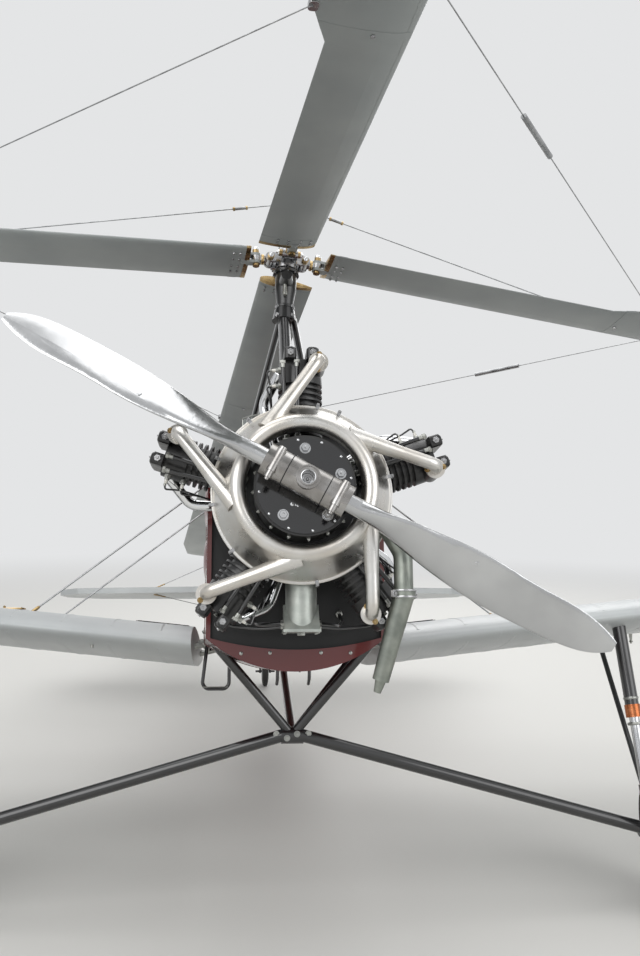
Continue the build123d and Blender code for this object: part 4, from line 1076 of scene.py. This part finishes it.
shield = {"radius": 247.5, "ahead": 165.0, "top": 578.0, "rear": 40.0, "frame": 5.0, "foot": 5.5}
back = shield["ahead"] - shield["rear"]
wide = math.acos(back / shield["radius"])
turn = np.linspace(-wide, wide, 41)
shapes = []
for start in cockpit["wells"]:
    arcX, arcY = shield["radius"] * np.sin(turn), start + shield["ahead"] - shield["radius"] * np.cos(turn)
    upper = np.column_stack((arcX, arcY, np.full(41, shield["top"])))
    ends = [meetRoll((*point[:2], 900), down)[0] if abs(point[0]) > 235 else np.array((*point[:2], 372.0))
            for point in (upper[0], upper[-1])]
    loop = np.concatenate((ends[:1], upper, ends[1:]))
    shapes.append(tube(rounded(loop, 12, 3), shield["frame"], 10))
    lower = [meetTub((x, y, 900), down)[0] if y < start - 6 else np.array((x, y, 368.0))
             for x, y in zip(arcX[::2], arcY[::2])]
    shapes.append(tube(np.array(lower) + up * 3, shield["foot"], 10))
fit("shield_frames", shapes, "steel_fittings")
print("fuselage and cockpits fitted")


# Seat cushions: rounded pads that swell under pressure, then seams and piping
cushion = {"inset": 5.0, "voxel": 0.008, "pressure": 4.0, "frames": 20, "cap": 12.0, "pipe": 4.2,
           "channelDepth": 7.0, "channelWidth": 9.0, "channels": (-0.6, -0.2, 0.2, 0.6)}
pads = (
    # low corner and high corner from the start of the well, thin axis, side of it that shows
    ((-185, 262, -289.7), (185, 490, -225), 2, 1), ((-185, 495, -214.7), (185, 549.7, 130), 1, -1))


def meshNow(piece):
    return bpy.data.meshes.new_from_object(piece.evaluated_get(bpy.context.evaluated_depsgraph_get()))


def metresOf(mesh):
    metres = np.empty(len(mesh.vertices) * 3)
    mesh.vertices.foreach_get("co", metres)
    return metres.reshape(-1, 3)


def swollen(points, faces):
    # a cloth run in metres under inner pressure, without gravity; returns the moved points and their faces
    mesh = bpy.data.meshes.new("pad_start")
    mesh.from_pydata((points / 1000).tolist(), [], faces)
    pad = newObject("pad_start", mesh)
    remesh = pad.modifiers.new("remesh", "REMESH")
    remesh.mode = "VOXEL"
    remesh.voxel_size = cushion["voxel"]
    done = even = meshNow(pad)
    pad.modifiers.clear()
    pad.data = even
    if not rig.quick():
        cloth = pad.modifiers.new("cloth", "CLOTH")
        cloth.settings.use_pressure = True
        cloth.settings.uniform_pressure_force = cushion["pressure"]
        cloth.settings.effector_weights.gravity = 0
        cloth.point_cache.frame_start = 1
        cloth.point_cache.frame_end = cushion["frames"]
        for number in range(1, cushion["frames"] + 1):
            bpy.context.scene.frame_set(number)
        done = meshNow(pad)
        bpy.context.scene.frame_set(1)
    before, after = metresOf(even) * 1000, metresOf(done) * 1000
    made = [list(polygon.vertices) for polygon in done.polygons]
    bpy.data.objects.remove(pad)
    move = after - before
    length = np.linalg.norm(move, axis=1, keepdims=True)
    # a point moves at most by the cap: move * tanh(length / cap) * cap / length
    return before + move * np.tanh(length / cushion["cap"]) * cushion["cap"] / np.maximum(length, 1e-6), made


def padStart(middle, half, wide, deep, thin):
    # rounded slab whose crown rises in the middle and whose sides pull in between the corners:
    # crown = 1 - 0.35 * (a^2 + b^2 - a^2 b^2), waist = 1 - 0.05 * (1 - b^2) * |a|^3, 0.06 the other way
    a, b = np.meshgrid(np.linspace(-1, 1, 41), np.linspace(-1, 1, 31), indexing="ij")
    crown = 1 - 0.35 * (a ** 2 + b ** 2 - a ** 2 * b ** 2)
    shareA = a * np.sqrt(1 - 0.12 * b ** 8) * (1 - 0.05 * (1 - b ** 2) * np.abs(a) ** 3)
    shareB = b * np.sqrt(1 - 0.12 * a ** 8) * (1 - 0.06 * (1 - a ** 2) * np.abs(b) ** 3)
    sheets = np.empty((2,) + a.shape + (3,))
    sheets[..., wide] = middle[wide] + half[wide] * shareA
    sheets[..., deep] = middle[deep] + half[deep] * shareB
    sheets[..., thin] = middle[thin] + np.array((1, -1))[:, None, None] * half[thin] * crown
    number = np.arange(a.size).reshape(a.shape)
    quads = np.stack((number[:-1, :-1], number[1:, :-1], number[1:, 1:], number[:-1, 1:]), -1).reshape(-1, 4)
    edge = np.concatenate((number[:, 0], number[-1, 1:], number[-2::-1, -1], number[0, -2:0:-1]))
    following = np.roll(edge, -1)
    walls = np.stack((edge, edge + a.size, following + a.size, following), -1)
    return sheets.reshape(-1, 3), quads.tolist() + (quads[:, ::-1] + a.size).tolist() + walls.tolist()


padPoints, padFaces, padCount, piping = [], [], 0, []
for start in cockpit["wells"]:
    for low, high, thin, face in pads:
        low, high = np.array(low) + aft * start, np.array(high) + aft * start
        middle, half = (low + high) / 2, (high - low) / 2 - cushion["inset"]
        wide, deep = [axis for axis in range(3) if axis != thin]
        points, faces = swollen(*padStart(middle, half, wide, deep, thin))
        # sewn channels across the shown face: depth * exp(-(d / width)^2), four to a pad
        share = (points - middle) / half
        dip = sum(np.exp(-((share[:, wide] - line) * half[wide] / cushion["channelWidth"]) ** 2)
                  for line in cushion["channels"])
        reach = np.clip(share[:, thin] * face, 0, 1) * np.clip((1 - np.abs(share[:, deep])) / 0.22, 0, 1)
        points[:, thin] -= face * cushion["channelDepth"] * dip * reach
        points = np.clip(points, low + 0.5, high - 0.5)
        padPoints.append(points)
        padFaces += [[k + padCount for k in corner] for corner in faces]
        padCount += len(points)
        # piping along the rim of the shown face: each point goes to the nearest point of the pad
        turn = np.linspace(0, 2 * math.pi, 96, endpoint=False)
        rim = np.empty((96, 3))
        for axis, share in ((wide, np.cos(turn)), (deep, np.sin(turn))):
            rim[:, axis] = middle[axis] + (half[axis] - 1.5) * np.sign(share) * np.abs(share) ** 0.28
        rim[:, thin] = middle[thin] + face * half[thin] * 0.62
        rim = points[((rim[:, None] - points[None]) ** 2).sum(-1).argmin(1)]
        for _ in range(5):
            rim = (np.roll(rim, 1, 0) + 2 * rim + np.roll(rim, -1, 0)) / 4
        piping.append(loopTube(rim, cushion["pipe"], 10))
padding = [(np.concatenate(padPoints), np.zeros((0, 4), int), padFaces)]
padding = fit("seat_padding", padding, "coaming_leather", edge=80)
smoothPads = padding.modifiers.new("smooth", "SUBSURF")
smoothPads.levels = smoothPads.render_levels = 1
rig.replaces(padding, "seat_cushions")
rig.padded(padding, fill=0.6)
fit("seat_piping", piping, "dash_board")

# lap belts lie over the seats: flat webbing with a buckle
belt = {"path": ((196, 470, -250), (188, 440, -214), (150, 400, -206), (90, 372, -203), (34, 360, -202)),
        "section": ((0, -22, -1.2), (0, 22, -1.2), (0, 22, 1.2), (0, -22, 1.2))}
webbing, buckles = [], []
for start in cockpit["wells"]:
    for side in (-1, 1):
        line = np.array(belt["path"]) * (side, 1, 1) + aft * start
        line = np.stack([np.interp(np.linspace(0, 4, 25), range(5), column) for column in line.T], -1)
        for _ in range(3):
            line[1:-1] = (line[:-2] + 2 * line[1:-1] + line[2:]) / 4
        webbing.append(closedRows(line[:, None] + np.array(belt["section"])))
    buckles.append(plate((78, 52, 8), (0, start + 359, -203), flat, ((-1, 1), (0, 0), (6, 0), (9, 4))))
fit("lap_belts", webbing, "maroon_fabric", smooth=False)
fit("belt_buckles", buckles, "steel_fittings")
print("cushions swollen and sewn")


# Wings: root fittings, wire ends, walks, rib tapes, hinges and the air speed head
wing = {"root": 425.0, "rootHeight": -514.0, "rise": math.tan(math.radians(6)), "spars": (1330.0, 1980.0),
        "plateHeight": -484.0, "plateNuts": (8, 7, 3, 11), "boltSpan": 392.0, "boltNut": (13, 10, 5, 17),
        "wires": ((1250.0, -427.3), (300.0, 300.0)), "walkX": (450, 690, 9), "walkY": (1290, 1800, 15),
        "aileron": (1420.0, 2530.0), "hinge": 2020.0, "hingeSpans": (1500, 1975, 2450), "pinSpan": 849.5}
meetWing = surfaceOf("wing_port", "wing_starboard")
meetAileron = surfaceOf("aileron_port", "aileron_starboard")


def wingHeight(span):
    return wing["rootHeight"] + (span - wing["root"]) * wing["rise"]


shapes = []
for station in wing["spars"]:
    for side in (-1, 1):
        foot = meetTub((side * 700, station, wing["plateHeight"]), -side * port)[0]
        shapes.append(plate((150, 96, 16), foot, upright, ((-side * 6, 0), (side * 3, 0), (side * 4.5, 1.5))))
        for along, high in ((-56, -30), (-56, 30), (56, -30), (56, 30)):
            spot, way = meetTub((side * 700, station + along, wing["plateHeight"] + high), -side * port)
            shapes += nut(spot + way * 2, way, *wing["plateNuts"])
        bolt = np.array((side * wing["boltSpan"], station, wingHeight(wing["boltSpan"]) + 14))
        shapes += nutPair(bolt, forward, 20, wing["boltNut"])
        shapes.append(tube((bolt - aft * 22, bolt + aft * 22), 8))
fit("wing_root_bolts", shapes, "steel_fittings")

# wire ends: a barrel with a flat middle and a fork at each end of each brace wire
shapes = []
for station in wing["spars"]:
    outer, inner = (np.array((across, station, height)) for across, height in wing["wires"])
    way = unit(inner - outer)
    shapes += [turned(outer + way * 50, way, ((4, 0), (7, 6), (8, 16), (8, 84), (7, 94), (4, 100)), 8),
               turned(outer + way * 20, way, ((6, 0), (9, 3), (9, 22), (5, 30)), 12),
               turned(inner - way * 62, way, ((4, 0), (7, 4), (7, 30), (9, 34), (9, 52), (6, 58)), 12)]
    foot, way = meetWing((outer[0], station, 400), down)
    shapes.append(plate((110, 62, 14), foot, flat, ((-3, 1), (2, 0), (4, 1))))
    for along in (-38, 38):
        shapes += nut(foot + (along, 0, along * wing["rise"] + 3), way, 7, 6, 3)
fit("wire_ends", bothSides(shapes), "brass_fittings")

# walks of ribbed rubber on the wing roots and the treads of the steps
grid = np.meshgrid(np.linspace(*wing["walkX"]), np.linspace(*wing["walkY"]), indexing="ij")
tops = np.array([[meetWing((x, y, 400), down)[0] for x, y in zip(*rows)] for rows in zip(*grid)])
upper, lower = tops + up * 2.4, tops - up * 2
shapes = [closedRows(np.concatenate((upper, lower[:, ::-1]), 1))]
shapes += [tube(upper[:, k] + np.linspace(port * 5, port * -5, 9), 2.6, 6) for k in range(1, 14)]
fit("wing_walks", bothSides(shapes), "tyre_rubber")
height = surfaceOf("boarding_step")((-325, 1200, 200), down)[0][2]
shapes = [tube(((-381, station, height), (-269, station, height)), 1.6, 6)
          for station in range(1176, 1232, 8)]
fit("step_tread", shapes, "steel_fittings")


# rib tapes: narrow raised strips over the fabric, every 210 mm, above and below
def tape(meet, span, stations, way, half):
    # a strip along the chord on the cloth, from above (way -1) or below (way 1), until the surface ends
    line = []
    for station in stations:
        try:
            line.append(meet((span, station, -way * 900), way * up)[0])
        except ValueError:
            break
    section = ((-half, 0, way * 2.0), (half, 0, way * 2.0),
               (half - 2, 0, -way * 0.9), (2 - half, 0, -way * 0.9))
    return [closedRows(np.array(line)[:, None] + np.array(section))] if len(line) > 4 else []


shapes = []
for span in np.arange(560, 3200, 210.0):
    rear = 2000 if wing["aileron"][0] < span < wing["aileron"][1] else 2290
    for way in (-1, 1):
        shapes += tape(meetWing, span, np.linspace(1010, rear, 22), way, 11)
fit("rib_tapes", bothSides(shapes), "silver_wing", edge=60)


def horn(place, foot, tip, tall, hole):
    # a lever with a bolt for its cable near the tip
    outline = ((-foot, 0), (foot, 0), (tip, tall), (-tip, tall))
    lever = prism(outline, place, *upright, ((-2.5, 0), (2.5, 0)))
    return [lever] + nutPair(place + up * hole, port, 3, (6, 5, 2.5))


# aileron hinges and horns; the horns ride the ailerons
shapes = []
for side in (-1, 1):
    for span in wing["hingeSpans"]:
        place = meetWing((side * span, wing["hinge"] - 40, -1200), up)[0]
        shapes.append(plate((30, 60, 6), place, flat, ((4, 0), (-6, 0), (-9, 3))))
        for along in (-18, 18):
            shapes += screw(place + (0, along, -8), down, 5)
fit("aileron_hinges", shapes, "steel_fittings")
for name, side in (("port", 1), ("starboard", -1)):
    place = meetAileron((side * wing["hingeSpans"][1], wing["hinge"] + 110, -1200), up)[0]
    shapes = horn(place, 26, 8, -78, -66)
    fit("aileron_horn_" + name, shapes, "steel_fittings", "aileron_" + name, smooth=False)

# air speed head under the port wing, with its two pipes
base = meetWing((2050, 1100, -1200), up)[0]
shapes = [tube(rounded(base + np.array(corners), 30), radius) for radius, corners in (
    (7, ((0, 30, 20), (0, 10, -90), (0, -150, -96))), (5, ((0, 54, 20), (0, 34, -110), (0, -130, -118))))]
fit("air_speed_head", shapes, "brass_fittings")
span, height = -wing["pinSpan"], wingHeight(wing["pinSpan"])
shapes = [tube(((span, station, height - 60), (span, station, height - 20)), 7) for station in (1062, 1122)]
fit("tie_down_pins", shapes, "steel_fittings")

# Tail: brace wires, hinge straps and horns
tail = {"wires": (((17, 4780, 430), (900, 4560, 8)), ((40, 4600, -235), (900, 4560, -36))),
        "lowSocket": ((5, -2), (7, 2), (7, 18), (4, 40)), "hingeStation": 5012, "hingeHeights": (-40, 430),
        "highSocket": ((5, -2), (7, 2), (7, 18), (5, 30), (5, 90), (3, 96)),
        "rudderHorn": ((-130, -9), (130, -9), (150, 4), (130, 12), (-130, 12), (-150, 4))}
shapes, sockets = [], []
for side in (-1, 1):
    for low, high in np.array(tail["wires"]) * (side, 1, 1):
        shapes.append(tube((low, high), 2.5, 8))
        sockets += [turned(low, high - low, tail["lowSocket"], 12),
                    turned(high, low - high, tail["highSocket"], 12)]
fit("tail_wires", shapes, "stay_wire")
fit("tail_wire_sockets", sockets, "brass_fittings")
shapes = []
for height in tail["hingeHeights"]:
    for side in (-1, 1):
        shapes.append(plate((90, 30, 8), (side * 20, tail["hingeStation"], height), upright,
                            ((-side * 6, 0), (side * 1.5, 0), (side * 2.5, 1))))
        for along in (-28, 0):
            shapes += nut((side * 22, tail["hingeStation"] + along, height), side * port, 5, 4)
fit("rudder_hinge_straps", shapes, "steel_fittings")
shapes = [prism(tail["rudderHorn"], (0, 5100, 60), *flat, ((-3, 0), (3, 0)))]
for side in (-1, 1):
    shapes += nutPair((side * 132, 5104, 60), up, 3, (7, 6, 3), (7, 6))
fit("rudder_horn", shapes, "steel_fittings", "rudder")
meetElevator = surfaceOf("elevators")
shapes = []
for side in (-1, 1):
    shapes += horn(meetElevator((side * 150, 4850, 400), down)[0] - up * 3, 24, 7, 84, 73)
fit("elevator_horns", shapes, "steel_fittings", "elevators", smooth=False)

# Landing gear: nuts of the vertex, clamps of the struts, caps, brake drums and valves
gear = {"vertexNuts": ((-22.5, -902), (19, -886), (66, -886), (-66, -886)),
        "bolts": ((330, 800, -510), (335, 1150, -510)), "strutFoot": (1540, 1000, -1266),
        "strutTop": (1480, 1090), "bands": (0.12, 0.44, 0.56),
        "band": ((20, -7), (31, -6), (33, -3), (33, 3), (31, 6), (20, 7)), "axle": (1660, 1000, -1300),
        "drum": ((34, -82), (86, -82), (94, -78), (96, -70), (96, -52), (92, -49), (34, -49)),
        "cap": ((40, 40), (47, 42), (47, 60), (44, 68), (36, 77), (22, 83), (8, 85)), "valveTurn": 2.1,
        "valve": ((5, -8), (5, 14), (3.6, 15), (3.6, 30), (5, 31), (5, 40), (3, 42)),
        "rib": ((-3, -6), (0.3, -5.5), (0.8, -4), (0.8, 4), (0.3, 5.5), (-3, 6)),
        "ribs": (-36, -18, 0, 18, 36), "beads": (238, 292),
        "bead": ((-3, -2), (-1.5, 1.2), (1.5, 1.2), (3, -2))}
wheels = (("port", np.array((1, 1, 1))), ("starboard", np.array((-1, 1, 1))))
shapes = []
meetVertex = surfaceOf("gear_pyramid", "axle_legs")
for across, height in gear["vertexNuts"]:
    shapes += nut(meetVertex((across, 400, height), aft)[0], forward, 9, 8, 4, 13)
for spot in np.array(gear["bolts"]):
    for spot in (spot * (-1, 1, 1), spot):
        shapes.append(turned(spot - aft * 26, aft, ((8, 0), (14, 2), (14, 50), (8, 52)), 16))
        shapes += nutPair(spot, forward, 26, (12, 9, 4))
fit("gear_bolts", shapes, "steel_fittings")
foot, top = np.array(gear["strutFoot"]), np.array((*gear["strutTop"], wingHeight(gear["strutTop"][0]) + 40))
shapes = [turned((foot + (top - foot) * share) * (side, 1, 1), (top - foot) * (side, 1, 1), gear["band"])
          for side in (-1, 1) for share in gear["bands"]]
fit("strut_bands", shapes, "steel_fittings")

# drum in the airframe, cap and valve on the wheel
for name, side in wheels:
    meetWheel = surfaceOf("wheel_" + name)
    axle, outward, body = gear["axle"] * side, port * side, "main_wheel_" + name
    fit("brake_drum_" + name, [turned(axle, outward, gear["drum"], 48)], "black_casting")
    nose = turned(axle + outward * 84, outward, ((15, -1), (15, 8), (13, 10), (4, 10)), 6)
    fit("hub_cap_" + name, [turned(axle, outward, gear["cap"], 40), nose], "steel_fittings", body)
    bolts = []
    for way in ringOf(8, aft, up, 0.3):
        bolts += nut(meetWheel(axle + way * 78 + outward * 300, -outward)[0], outward, 7, 7, 3.5)
    fit("wheel_bolts_" + name, bolts, "steel_fittings", body)
    way = aft * math.cos(gear["valveTurn"]) + up * math.sin(gear["valveTurn"])
    spot = meetWheel(axle + way * 175 + outward * 300, -outward)[0]
    fit("tyre_valve_" + name, [turned(spot, outward - way / 2, gear["valve"], 12)], "brass_fittings", body)

# Tyres: circumferential ribs and a fine bead on each wall
for name, side in wheels:
    meetTyre, axle, shapes = surfaceOf("tyre_" + name), gear["axle"] * side, []
    for offset in gear["ribs"]:
        radius = meetTyre(axle + (offset, 0, 500), down)[0][2] - axle[2]
        shapes.append(hoop(axle + (offset, 0, 0), port, np.array(gear["rib"]) + (radius, 0), 96))
    for radius in gear["beads"]:
        for way in (-port, port):
            out = abs(meetTyre(axle + way * 300 + up * radius, -way)[0][0] - axle[0])
            shapes.append(hoop(axle + way * out, way, np.array(gear["bead"]) + (radius, 0), 96))
    fit("tyre_ribs_" + name, shapes, "tyre_rubber", "main_wheel_" + name)

# Tail wheel: pressed discs with a lip
wheelPoints = nodePoints("tail_wheel")
axle = (wheelPoints.min(0) + wheelPoints.max(0)) / 2
meetTailWheel = surfaceOf("tail_wheel")
disc = ((24, -3), (24, 0.6), (58, 0.6), (64, 3), (70, 3), (72, 1), (73, -3))
shapes = []
for way in (-port, port):
    face = abs(meetTailWheel(axle + way * 200 + up * 64, -way)[0][0] - axle[0])
    shapes.append(hoop(axle, way, np.array(disc) + (0, face)))
fit("tail_wheel_discs", shapes, "wheel_paint", "tail_roller")

# rib tapes of the tailplane, above and below
shapes = []
meetTailplane = surfaceOf("tailplane")
for span in np.arange(190, 760, 140.0):
    for way in (-1, 1):
        shapes += tape(meetTailplane, span, np.linspace(4735, 4250, 20), way, 9)
fit("tailplane_tapes", bothSides(shapes), "silver_wing", edge=60)
print("wings, tail and landing gear fitted")

# Camera, as the photograph stands: yaw towards port, pitch and roll in degrees, lens in millimetres
camera = {"place": (-0.224, -4.756, 1.856), "yaw": 4.777, "pitch": -0.683, "roll": 0.623, "lens": 35.89,
          "sensor": 36, "far": 200}
eye = bpy.data.cameras.new("camera")
eye.lens, eye.sensor_width, eye.clip_end = camera["lens"], camera["sensor"], camera["far"]
eyeObject = newObject("camera", eye)
eyeObject.matrix_world = (Matrix.Translation(camera["place"]) @ turnBy(-camera["yaw"], "Z")
                          @ turnBy(90 + camera["pitch"], "X") @ turnBy(camera["roll"], "Z"))
bpy.context.scene.camera = eyeObject


# Floor, lamps and world
def seenRays(tree):
    # 1 for rays from the camera and for those that metal and glass send on
    rays = addNode(tree, "ShaderNodeLightPath")
    seen = rays.outputs["Is Camera Ray"]
    for kind in ("Is Glossy Ray", "Is Transmission Ray"):
        links = {0: seen, 1: rays.outputs[kind]}
        seen = addNode(tree, "ShaderNodeMath", links, operation="MAXIMUM").outputs[0]
    return seen


studio = {"floorHalf": 60.0, "floorColour": "#d9d8d4", "worldColour": "#e4e5e6", "worldStrength": 0.62,
          "shownStrength": 1.0, "fadeStart": 6.5, "fadeEnd": 16.0}
corners = np.array(((-1, -1, 0), (1, -1, 0), (1, 1, 0), (-1, 1, 0))) * studio["floorHalf"]
floorMesh = bpy.data.meshes.new("floor")
floorMesh.from_pydata(corners.tolist(), [], [(0, 1, 2, 3)])
floor = newObject("floor", floorMesh)
material, tree, shader, place = startMaterial("floor_painted", 0.6, 0.0, studio["floorColour"])
floorMesh.materials.append(material)
# far out the floor takes the colour of the background, to the camera, metal and glass alike
reach = addNode(tree, "ShaderNodeVectorMath", {0: place}, operation="LENGTH")
fade = addNode(tree, "ShaderNodeMapRange", {"Value": reach.outputs["Value"]}, interpolation_type="SMOOTHSTEP",
               From_Min=studio["fadeStart"], From_Max=studio["fadeEnd"])
seen = addNode(tree, "ShaderNodeMath", {0: fade.outputs[0], 1: seenRays(tree)}, operation="MULTIPLY")
glow = addNode(tree, "ShaderNodeEmission", Color=linear(studio["worldColour"]))
mix = addNode(tree, "ShaderNodeMixShader", {0: seen.outputs[0], 1: shader.outputs[0], 2: glow.outputs[0]})
tree.links.new(mix.outputs[0], tree.nodes["Material Output"].inputs["Surface"])
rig.stage(floor)

lamps = (
    # name, place, aimed at, size in metres, power in watts
    ("lamp_key", (-5.5, -9.0, 8.0), (0, -1.0, 1.6), 10.0, 620),
    ("lamp_fill", (7.5, -7.0, 5.0), (0, -0.5, 1.6), 8.0, 300),
    ("lamp_top", (0.0, 1.5, 10.5), (0, 1.0, 1.0), 11.0, 480),
    ("lamp_back", (3.0, 9.5, 7.0), (0, 1.0, 1.5), 8.0, 300),
)
for name, place, target, size, power in lamps:
    data = bpy.data.lights.new(name, "AREA")
    data.shape, data.size, data.energy = "DISK", size, power
    lamp = newObject(name, data)
    lamp.location = place
    lamp.rotation_mode = "QUATERNION"
    lamp.rotation_quaternion = (Vector(target) - Vector(place)).to_track_quat("-Z", "Y")

# the world lights the object at one strength and shows at another, to the camera, metal and glass alike
world = bpy.data.worlds.new("studio")
bpy.context.scene.world = world
world.use_nodes = True
sky = world.node_tree
background = sky.nodes["Background"]
background.inputs["Color"].default_value = linear(studio["worldColour"])
level = addNode(sky, "ShaderNodeMapRange", {"Value": seenRays(sky)},
                To_Min=studio["worldStrength"], To_Max=studio["shownStrength"])
sky.links.new(level.outputs[0], background.inputs["Strength"])
bpy.context.scene.view_settings.view_transform = "Standard"
print("camera, lamps and floor placed")

low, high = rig.bounds()
with open("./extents.json", "w") as sizes:
    json.dump({"cad": [list(cadLow), list(cadHigh)], "visual": [list(low), list(high)]}, sizes)
